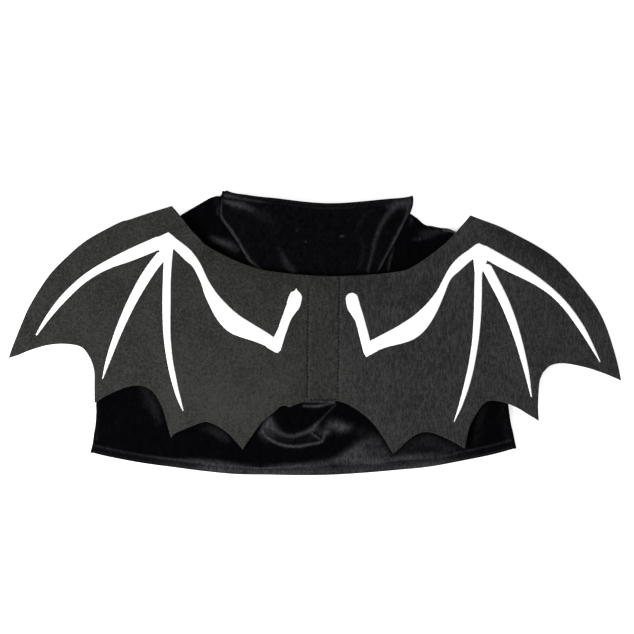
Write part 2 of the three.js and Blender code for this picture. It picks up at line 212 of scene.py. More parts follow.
@dataclass(frozen=True)
class Wave:
    """A low swell of a cloth that lies loose."""

    length: float
    angle: float
    height: float
    phase: float

    def lift(self, x: Array, y: Array) -> Array:
        """Plane sine wave: height times the sine of the travel along its angle."""
        travel = x * math.cos(math.radians(self.angle)) + y * math.sin(math.radians(self.angle))
        return self.height * np.sin(2.0 * math.pi * travel / self.length + self.phase)


@dataclass(frozen=True)
class Layout:
    """Where the cut pieces lie: the photograph's scale, the wings' turn and the part's origin."""

    pixel: float = 0.8
    photo_width: float = 634.0
    photo_x: float = 321.0
    photo_y: float = 276.0
    part_x: float = 3.312
    part_y: float = 45.778
    wing_turn: float = -2.1
    wing_shift: float = -0.6

    def from_photo(self, pixels: Array) -> Array:
        """Cutting-frame points of photograph pixels.

        Args:
            pixels: Rows of (across, down) and any further columns.

        Returns:
            Rows of (across, along) in millimetres, with the further columns as they are.
        """
        rows = np.array(pixels, float)
        rows[:, 0] = self.pixel * (rows[:, 0] - self.photo_x)
        rows[:, 1] = -self.pixel * (rows[:, 1] - self.photo_y)
        return rows

    def along_wing(self, x: Array, y: Array) -> Array:
        """Distance from the middle along the wings, which lie turned a little."""
        turn = math.radians(self.wing_turn)
        return (x - self.wing_shift) * math.cos(turn) + y * math.sin(turn)

    def to_part(self, points: Array) -> Array:
        """Part-frame metres of cutting-frame points."""
        return (points + np.array([self.part_x, self.part_y, 0.0])) * MM


LAYOUT = Layout()


def drawn_line(stations: Stations, width_scale: float, step: float) -> Array:
    """Spline through stations of the photograph, as closely spaced rows in the cutting frame.

    Args:
        stations: Rows of (pixel across, pixel down, width) and any further columns.
        width_scale: Millimetres for one unit of the width column.
        step: Spacing of the rows in millimetres.

    Returns:
        Rows of (across, along, width) in millimetres and the further columns.
    """
    rows = LAYOUT.from_photo(stations)
    rows[:, 2] *= width_scale
    count = max(LEAST_SAMPLES, int(path_travel(rows[:, :2])[-1] / step))
    return spline(rows, np.linspace(0.0, 1.0, count))


@dataclass(frozen=True)
class Brush:
    """A soft mark along a line in the photograph.

    Each station is (pixel across, pixel down, half width in pixels, strength). A higher power gives the
    mark a flatter crest and steeper flanks. Beyond the margin, in half widths, it is nothing.
    """

    name: str
    stations: Stations
    power: float = 2.0
    step: float = 0.6
    margin: float = 2.6
    least_width: float = 0.05

    def value(self, x: Array, y: Array) -> Array:
        """Strength of the mark: the closest station's strength times exp(-(distance / half width)^power).

        Args:
            x: Cutting-frame places across.
            y: Cutting-frame places along.

        Returns:
            The mark's strength at each place.
        """
        samples = drawn_line(self.stations, LAYOUT.pixel, self.step)
        points = np.stack([x.ravel(), y.ravel()], axis=1)
        near = in_box(points, samples[:, :2], self.margin * samples[:, 2].max())
        total = np.zeros(len(points))
        if len(near):
            distance, row = nearest(points[near], samples[:, :2])
            width = np.maximum(samples[row, 2], self.least_width)
            total[near] = samples[row, 3] * bell(distance, width, self.power)
        return total.reshape(x.shape)


def marks(brushes: tuple[Brush, ...], x: Array, y: Array) -> Array:
    """Sum of several brushes at the same places."""
    return sum((brush.value(x, y) for brush in brushes), np.zeros(x.shape))


# Meshes


def strip_faces(rows: int, columns: int, loop_rows: bool, loop_columns: bool) -> Array:
    """Quads of a grid whose rows or columns may close into a loop.

    Args:
        rows: Number of grid rows.
        columns: Number of grid columns; the vertex of (row, column) is row * columns + column.
        loop_rows: Whether the last row joins the first.
        loop_columns: Whether the last column joins the first.

    Returns:
        Four vertex numbers for each quad.
    """
    row = np.arange(rows if loop_rows else rows - 1)[:, None]
    column = np.arange(columns if loop_columns else columns - 1)[None, :]
    above, beside = (row + 1) % rows, (column + 1) % columns
    near, far = row * columns, above * columns
    corners = [near + column, near + beside, far + beside, far + column]
    return np.stack([np.broadcast_to(c, (row.size, column.size)) for c in corners], axis=-1).reshape(-1, 4)


def repeated_faces(faces: Array, vertices: int, count: int) -> Array:
    """The faces of one small shape for each of its copies, whose vertices follow each other."""
    return (faces[None] + np.arange(count)[:, None, None] * vertices).reshape(-1, 4)


def make_piece(name: str, points: Array, faces: Array, values: dict[str, Array] | None = None) -> Piece:
    """Puts arrays into a smooth mesh object, with doubled vertices merged.

    Args:
        name: Name of the piece.
        points: Cutting-frame vertices, one row each.
        faces: Quads as vertex numbers.
        values: Float attributes for the vertices, by name.

    Returns:
        The new object, at the origin with its place in its mesh.
    """
    mesh = bpy.data.meshes.new(name)
    mesh.from_pydata(LAYOUT.to_part(points), [], faces.tolist())
    for key, value in (values or {}).items():
        attribute = mesh.attributes.new(key, "FLOAT", "POINT")
        attribute.data.foreach_set("value", value.astype(np.float32).ravel())
    work = bmesh.new()
    work.from_mesh(mesh)
    bmesh.ops.remove_doubles(work, verts=work.verts, dist=MERGE_DISTANCE)
    work.to_mesh(mesh)
    work.free()
    mesh.shade_smooth()
    piece = bpy.data.objects.new(name, mesh)
    bpy.context.scene.collection.objects.link(piece)
    return piece


def finish_piece(piece: Piece, material: Material, nodes: tuple[str, ...] = ()) -> None:
    """Gives a piece its material and body, and hides the CAD nodes that it stands for.

    Args:
        piece: The piece.
        material: Its material.
        nodes: Names of the CAD nodes that it replaces.
    """
    piece.data.materials.append(material)
    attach(piece, BODY)
    if nodes:
        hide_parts(*nodes)
    LOG.info("%s: %d faces", piece.name, len(piece.data.polygons))


@dataclass(frozen=True)
class Cloth:
    """A sheet's cut size in metres, its area in square metres and how it is held."""

    width: float
    length: float
    area: float
    hold: Hold

    def declare(self, piece: Piece, trims: list[Piece]) -> None:
        """Takes a piece of this sheet and the trims that are sewn on it, and does nothing with them."""


FELT_CLOTH = Cloth(0.49, 0.199, 0.0557, Hold.LAID)
CAPE_CLOTH = Cloth(0.68, 0.22, 0.1135, Hold.FOLDED)
COLLAR_CLOTH = Cloth(0.31, 0.075, 0.0133, Hold.FOLDED)


@dataclass(frozen=True)
class Edge:
    """A cut, folded or sewn edge through points of the photograph."""

    pixels: Stations
    shift: float = 0.0
    samples: int = 900

    def points(self, t: Array) -> Array:
        """Catmull-Rom curve through the points, moved to its left by the shift.

        Args:
            t: Shares of the edge's length.

        Returns:
            Cutting-frame points, one row for each share.
        """
        dense = spline(LAYOUT.from_photo(self.pixels), np.linspace(0.0, 1.0, self.samples))
        course = np.gradient(dense, axis=0)
        course /= np.linalg.norm(course, axis=1, keepdims=True)
        dense = dense + self.shift * np.stack([-course[:, 1], course[:, 0]], axis=1)
        return path_points(dense, np.asarray(t) * path_travel(dense)[-1])


# Stitches and loose pile


@dataclass
class StitchRow:
    """A row of machine stitches: small capsules laid end to end along a line."""

    name: str
    path: Array
    length: float
    radius: float
    pitch: float = 3.1
    half_chord: float = 0.3
    along_steps: int = 6
    around_steps: int = 8

    def build(self) -> Piece:
        """Capsules in one mesh: each is a long ellipsoid whose axis is the path's chord there.

        Returns:
            The row as one piece.
        """
        total = path_travel(self.path)[-1]
        count = int(total / self.pitch)
        middle = (np.arange(count) + 0.5) * total / count
        place = path_points(self.path, middle)
        ahead = path_points(self.path, middle + self.half_chord)
        way = ahead - path_points(self.path, middle - self.half_chord)
        way /= np.linalg.norm(way, axis=1, keepdims=True)
        across = np.cross(np.array([0.0, 0.0, 1.0]), way)
        across /= np.linalg.norm(across, axis=1, keepdims=True)
        up = np.cross(way, across)
        a = math.pi * np.arange(self.along_steps + 1) / self.along_steps
        b = 2.0 * math.pi * np.arange(self.around_steps) / self.around_steps
        forward = -np.cos(a)[:, None] * self.length / 2.0 * np.ones_like(b)
        girth = self.radius * np.sqrt(np.sin(a))[:, None]
        shape = [forward, girth * np.cos(b), girth * np.sin(b)]
        axes = [way, across, up]
        points = sum(s[None, :, :, None] * axis[:, None, None, :] for s, axis in zip(shape, axes))
        points = points + place[:, None, None, :]
        one = strip_faces(self.along_steps + 1, self.around_steps, False, True)
        faces = repeated_faces(one, (self.along_steps + 1) * self.around_steps, count)
        return make_piece(self.name, points.reshape(-1, 3), faces)

    def sew(self, thread: Material, slot: Slot) -> Piece:
        """Builds the row, dressed in its thread.

        Args:
            thread: The thread's material.
            slot: Slot of the cloth that it is sewn through; not used.

        Returns:
            The row as one piece.
        """
        row = self.build()
        finish_piece(row, thread)
        return row


@dataclass
class FibreTuft:
    """Loose pile: short bent fibres that stand out from a line."""

    name: str = "shoulder_fuzz"
    roots: Edge = Edge(((443, 231.2), (448, 231.8), (453, 232.8), (456.5, 234.6)))
    levels: tuple[float, float] = (4.0, 6.0)
    ways: tuple[float, float] = (35.0, 120.0)
    count: int = 420
    length: float = 3.0
    shortest: float = 0.4
    radius: float = 0.06
    bend: float = 0.8
    seed: int = 7
    steps: int = 6
    sides: int = 3

    def build(self) -> Piece:
        """Spindles in one mesh: a ring that narrows to both ends is carried along each bent fibre.

        Returns:
            The tuft as one piece.
        """
        draw = np.random.default_rng(self.seed)
        root = self.roots.points(draw.random(self.count))
        rise = draw.uniform(*self.levels, self.count)
        way = heading(draw.uniform(*self.ways, self.count))
        aside = np.stack([-way[:, 1], way[:, 0]], axis=1)
        reach = self.length * draw.uniform(self.shortest, 1.0, self.count)
        curl = self.bend * draw.uniform(-1.0, 1.0, (self.count, 2))
        s = np.linspace(0.0, 1.0, self.steps + 1)[None, :, None]
        straight = root[:, None] + way[:, None] * reach[:, None, None] * s
        plan = straight + aside[:, None] * curl[:, :1, None] * s**2
        level = rise[:, None, None] + curl[:, 1:, None] * s**2
        girth = self.radius * np.sqrt(np.sin(math.pi * s))
        turn = 2.0 * math.pi * np.arange(self.sides) / self.sides
        ring = aside[:, None, None] * (girth * np.cos(turn))[..., None]
        flat = plan[:, :, None] + ring
        high = np.broadcast_to(level + girth * np.sin(turn), flat.shape[:3])
        points = np.concatenate([flat, high[..., None]], axis=3)
        one = strip_faces(self.steps + 1, self.sides, False, True)
        faces = repeated_faces(one, (self.steps + 1) * self.sides, self.count)
        return make_piece(self.name, points.reshape(-1, 3), faces)

    def dress(self, piece: Piece, pile: Material) -> None:
        """Gives the tuft its material and body."""
        finish_piece(piece, pile)


# Felt wings


@dataclass(frozen=True)
class Bay:
    """One scallop, or one flank of a scallop, with the stretch of upper edge above it."""

    scallop: str
    upper: str
    begin: float
    end: float
    columns: Spans


@dataclass(frozen=True)
class SewnLine:
    """A line of stitches on the felt: its course in pixels, and the length and radius of a stitch."""

    name: str
    pixels: Stations
    length: float
    radius: float


# Edges of each half in pixels: the neck and the lead run out to the tip, and the scallops run back
LEFT_EDGES = {
    "neck": Edge((
        (321, 275.9), (300, 274.6), (280, 272.4), (262, 269.6), (242, 263.2), (224, 255.2),
        (206.5, 245.4), (198.5, 237.4), (190.5, 229.0), (178.5, 213.5), (171.8, 205.9),
    )),
    "lead": Edge((
        (171.8, 205.9), (165.5, 207.9), (147.4, 213.5), (129.6, 219.5), (120.4, 222.0), (102.3, 231.1),
        (84.2, 241.8), (66.4, 257.1), (48.2, 276.2), (30.2, 304.2), (21.0, 324.5), (11.6, 348.1),
        (8.3, 358.2),
    )),
    "outer": Edge((
        (8.3, 358.2), (17.5, 355.3), (27.5, 351.2), (37.5, 347.8), (49.0, 345.0), (62.5, 343.9),
        (77.0, 345.5), (83.8, 349.1), (88.5, 355.5), (90.7, 359.5),
    )),
    "flank": Edge((
        (90.7, 359.5), (92.5, 364.5), (93.8, 369.5), (94.4, 374.5), (94.4, 391.0), (94.6, 403.2),
    )),
    "second": Edge((
        (94.6, 403.2), (104.5, 396.7), (116.5, 390.9), (128.5, 386.6), (139.0, 385.4), (148.2, 388.1),
        (155.8, 395.3), (162.8, 408.9), (167.8, 426.4), (171.0, 437.6),
    )),
    "third": Edge((
        (171.0, 437.6), (176.5, 432.7), (188.5, 427.6), (200.5, 422.8), (208.1, 422.1), (218.7, 426.7),
        (228.7, 433.7), (236.7, 442.3), (242.8, 449.4),
    )),
    "middle": Edge((
        (242.8, 449.4), (250.5, 438.0), (260.5, 424.0), (269.0, 416.3), (276.0, 410.6), (281.0, 406.2),
        (286.0, 405.8), (289.8, 407.0), (294.0, 405.0), (301.0, 402.8), (308.0, 400.6), (321, 400.3),
    )),
}
RIGHT_EDGES = {
    "neck": Edge((
        (321, 275.9), (340, 276.1), (360, 275.2), (380, 273.8), (396.5, 271.8), (405.5, 269.9),
        (412.5, 266.9), (420.5, 262.0), (436.5, 250.5), (449.0, 239.8), (458.9, 228.5), (465.9, 220.5),
        (470.2, 215.1),
    )),
    "lead": Edge((
        (470.2, 215.1), (481.5, 219.6), (499.6, 226.4), (517.5, 235.3), (535.6, 245.0), (553.8, 257.0),
        (571.7, 274.7), (589.7, 296.9), (598.9, 310.6), (607.9, 330.3), (616.9, 359.3), (621.6, 380.9),
    )),
    "outer": Edge((
        (621.6, 380.9), (610.5, 376.0), (600.5, 372.2), (590.5, 368.8), (577.0, 365.5), (564.5, 363.5),
        (555.5, 364.0), (549.0, 366.5), (543.2, 372.5),
    )),
    "flank": Edge((
        (543.2, 372.5), (540.1, 379.5), (538.9, 388.0), (538.4, 397.5), (538.2, 408.0), (539.0, 421.1),
    )),
    "second": Edge((
        (539.0, 421.1), (526.3, 413.5), (518.4, 408.5), (508.5, 404.0), (496.5, 400.8), (487.5, 401.2),
        (480.5, 407.4), (473.0, 419.5), (468.3, 431.0), (464.8, 448.8),
    )),
    "third": Edge((
        (464.8, 448.8), (456.1, 443.3), (444.1, 437.3), (434.0, 433.2), (425.0, 432.0), (416.5, 434.4),
        (406.5, 441.8), (399.5, 448.5), (393.1, 454.2),
    )),
    "middle": Edge((
        (393.1, 454.2), (386.0, 442.0), (378.6, 430.5), (370.5, 420.6), (361.5, 413.0), (352.5, 407.0),
        (343.5, 402.6), (333.0, 400.3), (321, 400.3),
    )),
}
WING_BAYS = (
    Bay("outer", "lead", 1.0, 0.36, ((1.0, 42),)),
    Bay("flank", "lead", 0.36, 0.24, ((1.0, 18),)),
    Bay("second", "lead", 0.24, 0.0, ((1.0, 36),)),
    Bay("third", "neck", 1.0, 0.52, ((1.0, 36),)),
    Bay("middle", "neck", 0.52, 0.0, ((0.68, 46), (0.95, 78), (1.0, 6))),
)
# Heights of the felt's dents in millimetres, and its lighter and darker places: painted shade and painted
# highlight on the flanks of the stitch rows, lint, and broader darker and lighter areas
FELT_CREASES = (
    Brush("left wing crease", ((72, 346, 2.0, 0.0), (90, 341, 2.0, -0.25), (118, 335, 2.2, 0.0))),
)
FELT_SEAMS = (
    Brush("left stitch row", (
        (308.5, 288, 1.3, -0.2), (307.6, 340, 1.3, -0.35), (307.2, 399, 1.3, -0.35),
    )),
    Brush("right stitch row", (
        (339.3, 277, 1.3, -0.3), (338.6, 335, 1.3, -0.3), (337.7, 398, 1.3, -0.3),
    )),
)
FELT_PAINTED_LIGHT_AND_TONE = (
    Brush("strip between the rows", ((324, 284, 14, -0.1), (323, 394, 14, -0.1)), 4.0),
    Brush("right lead", (
        (492, 228, 8, -0.3), (520, 242, 9, -0.62), (547, 259, 10, -0.6), (590, 312, 9, -0.2),
    )),
    Brush("right neck", ((372, 290, 13, -0.08), (410, 292, 17, -0.16), (440, 272, 14, -0.1))),
    Brush("right inner", ((350, 300, 22, -0.08), (398, 345, 38, -0.11), (420, 405, 30, -0.11))),
    Brush("neck edge", (
        (206, 252, 6, -0.2), (250, 272, 8, -0.2), (330, 283, 12, -0.24), (395, 280, 10, -0.12),
    )),
    Brush("lower left", ((185, 385, 22, 0.16), (232, 412, 26, 0.4), (268, 392, 18, 0.26))),
    Brush("left finger", (
        (160, 290, 14, 0.04), (165, 340, 14, 0.1), (172, 400, 14, 0.28), (176, 428, 12, 0.25),
    )),
    Brush("left arm", ((208, 300, 14, 0.1), (236, 335, 18, 0.18), (248, 365, 20, 0.12))),
    Brush("left neck", ((224, 276, 15, -0.14), (244, 290, 17, -0.16), (268, 300, 15, -0.08))),
    # Painted shade on the left flank of each stitch row's dent and a painted highlight on its right flank
    Brush("left row's dark", (
        (308.5, 288, 1.1, -0.1), (307.6, 335, 1.1, -0.28), (307.1, 399, 1.1, -0.28),
    )),
    Brush("left row's light", (
        (310.3, 290, 1.3, 0.14), (309.6, 345, 1.3, 0.26), (309.5, 399, 1.6, 0.42),
    )),
    Brush("right row's dark", (
        (339.3, 278, 1.1, -0.4), (338.5, 335, 1.1, -0.22), (337.6, 398, 1.1, -0.16),
    )),
    Brush("right row's light", (
        (341.5, 280, 1.3, 0.16), (340.7, 340, 1.3, 0.26), (340.0, 398, 1.4, 0.3),
    )),
    Brush("bar's dark", ((312, 399.6, 0.9, -0.2), (324, 399.6, 0.9, -0.5), (337, 399.5, 0.9, -0.5))),
    Brush("lint", ((282.8, 401.6, 1.3, 0.3), (283.3, 403.4, 1.4, 0.45))),
    Brush("pale tooth", ((289.4, 405.6, 0.9, 0.3), (289.8, 406.4, 0.9, 0.4))),
)
FELT_LINES = (
    SewnLine("left_wing_stitches", ((308.5, 289), (307.6, 340), (307.2, 399)), 1.7, 0.42),
    SewnLine("right_wing_stitches", ((339.3, 277), (338.6, 335), (337.7, 398)), 1.9, 0.34),
    SewnLine("bar_stitches", ((309, 399.7), (323, 399.6), (337.4, 399.5)), 2.4, 0.3),
)


@dataclass
class FeltWings:
    """The grey felt panel: both wings and the piece between them, cut with scallops."""

    thickness: float = 2.0
    underside: float = 10.6
    droop_start: float = 112.0
    reach: float = 245.0
    tip_drop: float = 9.6
    droop_power: float = 1.7
    rim: float = 0.9
    rim_power: float = 2.6
    rim_search: float = 4.0
    rows: int = 60
    outline_samples: int = 340
    lie_start: float = -130.0
    lie_span: float = 190.0
    insets: tuple[float, ...] = (0.0, 0.1, 0.28, 0.55, 0.9, 1.4)
    inset_room: float = 2.2
    stitch_samples: int = 60
    stitch_stand: float = 0.1
    waves: tuple[Wave, ...] = (Wave(150, 62, 0.14, 0.4), Wave(95, -35, 0.08, 1.9), Wave(61, 15, 0.05, 4.0))

    def droop(self, x: Array) -> Array:
        """Height of the underside: level over the capelet, then falling as a power of the way to the tip."""
        share = np.maximum(0.0, (np.abs(x) - self.droop_start) / (self.reach - self.droop_start))
        return self.underside - self.tip_drop * share**self.droop_power

    def middle(self, x: Array, y: Array) -> Array:
        """Height of the felt's middle layer: the droop along the wings, swells, creases and sewn dents.

        Args:
            x: Cutting-frame places across.
            y: Cutting-frame places along.

        Returns:
            The height at each place.
        """
        swell = sum(wave.lift(x, y) for wave in self.waves)
        pressed = marks(FELT_CREASES + FELT_SEAMS, x, y)
        return self.droop(LAYOUT.along_wing(x, y)) + self.thickness / 2.0 + swell + pressed

    def half_columns(self, edges: dict[str, Edge]) -> tuple[Array, Array]:
        """Pairs of lower and upper outline points of one half.

        Args:
            edges: The half's edges by name.

        Returns:
            Lower and upper points, from the outer tip to the middle.
        """
        lower, upper = [], []
        for bay in WING_BAYS:
            share = spread(bay.columns)[1 if lower else 0 :]
            lower.append(edges[bay.scallop].points(share))
            upper.append(edges[bay.upper].points(bay.begin + (bay.end - bay.begin) * share))
        return np.concatenate(lower), np.concatenate(upper)

    def columns(self) -> list[Array]:
        """Lower and upper outline points of the whole panel, from the left tip to the right tip."""
        halves = zip(self.half_columns(LEFT_EDGES), self.half_columns(RIGHT_EDGES))
        return [np.concatenate([left, right[-2::-1]]) for left, right in halves]

    def rim_depth(self, plan: Array, reach: Array) -> Array:
        """Share of the rim's width that lies between each point and the outline, from 0 to 1.

        Args:
            plan: Points of the panel on its grid.
            reach: Distance of each point from the closer end of its column.

        Returns:
            The share at each point.
        """
        share = np.linspace(0.0, 1.0, self.outline_samples)
        edges = [*LEFT_EDGES.values(), *RIGHT_EDGES.values()]
        outline = np.concatenate([edge.points(share) for edge in edges])
        depth = np.ones(reach.shape)
        close = reach < self.rim_search * self.rim
        distance, _ = nearest(plan[close], outline)
        depth[close] = np.clip(distance / self.rim, 0.0, 1.0)
        return depth

    def build(self) -> Piece:
        """Closed panel on a grid of columns and rows.

        A point is the blend of its column's lower and upper outline points. Its top and underside stand off
        the middle layer by half the thickness, which shrinks to nothing at the outline as a soft rim.

        Returns:
            The felt piece.
        """
        low, high = self.columns()
        length = np.linalg.norm(high - low, axis=1)[:, None]
        inset = np.array(self.insets) * np.minimum(1.0, length / (self.inset_room * self.insets[-1]))
        edge = inset / np.maximum(length, TINY)
        body = np.linspace(0.0, 1.0, self.rows + 2)[1:-1]
        inner = edge[:, -1:] + (1.0 - 2.0 * edge[:, -1:]) * body
        share = np.concatenate([edge, inner, 1.0 - edge[:, ::-1]], axis=1)[:, :, None]
        plan = low[:, None, :] * (1.0 - share) + high[:, None, :] * share
        reach = np.minimum(share, 1.0 - share)[:, :, 0] * length
        depth = self.rim_depth(plan, reach)
        half = self.thickness / 2.0 * (1.0 - (1.0 - depth) ** self.rim_power) ** (1.0 / self.rim_power)
        half[:, [0, -1]] = 0.0
        x, y = plan[:, :, 0], plan[:, :, 1]
        level = self.middle(x, y)
        top = np.stack([x, y, level + half], axis=-1)
        under = np.stack([x, y, level - half], axis=-1)[:, ::-1]
        grid = np.concatenate([top, under], axis=1).transpose(1, 0, 2)
        faces = strip_faces(grid.shape[0], grid.shape[1], True, False)
        lie = ease((x - self.lie_start) / self.lie_span)
        # Painted shade and highlight on the stitch rows' flanks, lint, and lighter and darker areas
        values = {"painted_light_and_tone": marks(FELT_PAINTED_LIGHT_AND_TONE, x, y), "lie": lie}
        both = {key: np.concatenate([value, value[:, ::-1]], axis=1).T for key, value in values.items()}
        return make_piece("felt_wings", grid.reshape(-1, 3), faces, both)

    def dress(self, piece: Piece, felt: Material) -> None:
        """Gives the panel its material and body, and hides its CAD node."""
        finish_piece(piece, felt, ("wings",))

    def sew(self, piece: Piece, thread: Material) -> None:
        """Args:
            piece: The felt piece.
            thread: The thread's material.
        """
        rows = []
        for line in FELT_LINES:
            course = spline(LAYOUT.from_photo(line.pixels), np.linspace(0.0, 1.0, self.stitch_samples))
            x, y = course.T
            z = self.middle(x, y) + self.thickness / 2.0 + self.stitch_stand
            row = StitchRow(line.name, np.stack([x, y, z], axis=1), line.length, line.radius)
            rows.append(row.sew(thread, Slot.FELT))
        FELT_CLOTH.declare(piece, rows)


# Printed bones


@dataclass(frozen=True)
class BoneStroke:
    """One bone of the print: stations of (pixel across, pixel down, width in pixels)."""

    name: str
    stations: Stations


@dataclass(frozen=True)
class BonePattern:
    """The bones of one wing: strokes, and corners of the areas where strokes meet."""

    strokes: tuple[BoneStroke, ...]
    areas: tuple[Stations, ...]


LEFT_BONES = BonePattern(
    (
        BoneStroke("upper arm", (
            (295.2, 299, 13.2), (293.7, 304.5, 13.6), (290.4, 310.5, 11.6), (287.4, 316.5, 9.8),
            (285, 322.5, 9.5), (282.2, 330.5, 9.4), (278.5, 339.5, 9.4), (276.5, 346, 9),
        )),
        BoneStroke("forearm", (
            (275, 345, 12), (268.5, 340.7, 12.5), (260.4, 336.3, 14), (252.4, 332.6, 15.9),
            (244.3, 328.9, 18.1), (236.1, 324.7, 19.7), (228.7, 318.8, 19.2), (221.2, 310.1, 16.9),
            (213.5, 298.9, 13), (209.1, 291.1, 10.9), (204.4, 280.9, 8.2), (196.6, 265, 8.5),
            (188.6, 255.8, 11.2), (182.9, 250.2, 10.9), (175.7, 244.2, 10), (169, 238.5, 9.5),
        )),
        BoneStroke("first finger", (
            (158, 243.2, 13.4), (140.5, 250.7, 13), (125.6, 257, 11.8), (110.6, 263.3, 9.3),
            (95.5, 271.3, 8.1), (80.5, 281.9, 7.5), (65.6, 296, 7.3), (55.6, 307.4, 6.2), (46, 320, 4.7),
            (36.4, 334.8, 2),
        )),
        BoneStroke("second finger", (
            (160.7, 256.9, 10.8), (153.8, 265.6, 10.7), (143.8, 280.5, 10.6), (132.7, 300.5, 9.4),
            (123.3, 320.5, 8.2), (115.2, 340.5, 6.8), (108.2, 360.5, 4.9), (102.8, 378.4, 1.2),
        )),
        BoneStroke("third finger", (
            (168.2, 257, 8.8), (167, 280.5, 8.3), (166.7, 300.5, 8.6), (166.7, 322, 8),
            (167.6, 340.5, 7.2), (170.1, 360.5, 6.3), (173.1, 375.5, 6), (176.7, 390.5, 4.8),
            (179.8, 400.5, 3.6), (183.1, 410.4, 1.3),
        )),
    ),
    (
        (
            (273.8, 337), (277.5, 329.5), (286.8, 330.5), (281, 350.4), (278, 353), (275, 352.4),
            (266, 347), (266, 333.5),
        ),
        (
            (168.7, 231.9), (176, 237.9), (173.4, 250.4), (172.2, 262), (163.4, 262.7), (159.1, 250.2),
            (152, 239.6),
        ),
        (
            (296.5, 287.8), (297.9, 290.5), (299.5, 291.9), (300.9, 293.5), (302, 295.6), (302.3, 297.2),
            (302, 300), (300.7, 304.3), (286.5, 303.5), (287.5, 300.3), (288.8, 296.4), (290.1, 293.5),
            (291.7, 291.6), (294.5, 290.6),
        ),
    ),
)
RIGHT_BONES = BonePattern(
    (
        BoneStroke("upper arm", (
            (352, 299, 12.8), (353.5, 305.5, 13.5), (356.6, 312.4, 11.6), (359.3, 318.4, 9.9),
            (361.2, 324.5, 9.4), (363.3, 332.5, 9.7), (365.3, 340.5, 9.7), (367, 347, 9.6),
        )),
        BoneStroke("forearm", (
            (371, 347.3, 12), (376.6, 344.4, 12.6), (384.6, 340.8, 13.9), (392.6, 337.7, 15.9),
            (400.7, 334.6, 18.1), (408.6, 330.8, 19.8), (416.3, 325.5, 19.4), (424, 317.7, 16.9),
            (431.8, 307.5, 13.2), (440, 293.8, 8.9), (446.2, 280.5, 7.1), (450.7, 273.2, 8.4),
            (456.8, 266.4, 10.7), (464.2, 259.4, 10.9), (472.4, 253.2, 10.2), (478.4, 248.3, 9.8),
        )),
        BoneStroke("first finger", (
            (484, 251.6, 12.6), (500.5, 260.8, 12.6), (512.5, 267.3, 12.1), (525.4, 274.2, 10.6),
            (538.4, 282.1, 8.7), (552.5, 292.7, 7.2), (566.6, 307, 6.9), (580.5, 326.2, 6.5),
            (590.5, 343.3, 4.5), (600.1, 361.5, 1.4),
        )),
        BoneStroke("second finger", (
            (487.4, 268.8, 10), (493.6, 280.5, 10.1), (503.8, 300.5, 9.6), (511.9, 320.5, 8.8),
            (518.5, 340.5, 7.4), (523.9, 360.5, 6.1), (527.4, 375.5, 4.6), (531.3, 396.4, 1.6),
        )),
        BoneStroke("third finger", (
            (478.6, 268, 8), (478.2, 280.5, 7.9), (477.9, 300.5, 7.9), (477, 320.5, 7.6),
            (475.3, 340.5, 6.9), (472.2, 360.5, 6.4), (469.1, 375.5, 6.2), (465.1, 390.5, 5.4),
            (459.5, 408, 3.6), (454, 421.6, 1),
        )),
    ),
    (
        (
            (368, 333), (369.8, 340.4), (377, 337.4), (378, 351), (366.2, 357.3), (363.4, 352.8),
            (360.2, 340),
        ),
        (
            (478.8, 242.8), (488, 247.2), (487.2, 261.3), (482.4, 273.2), (474.3, 272), (473.2, 260.7),
            (469.5, 250.2),
        ),
    ),
)


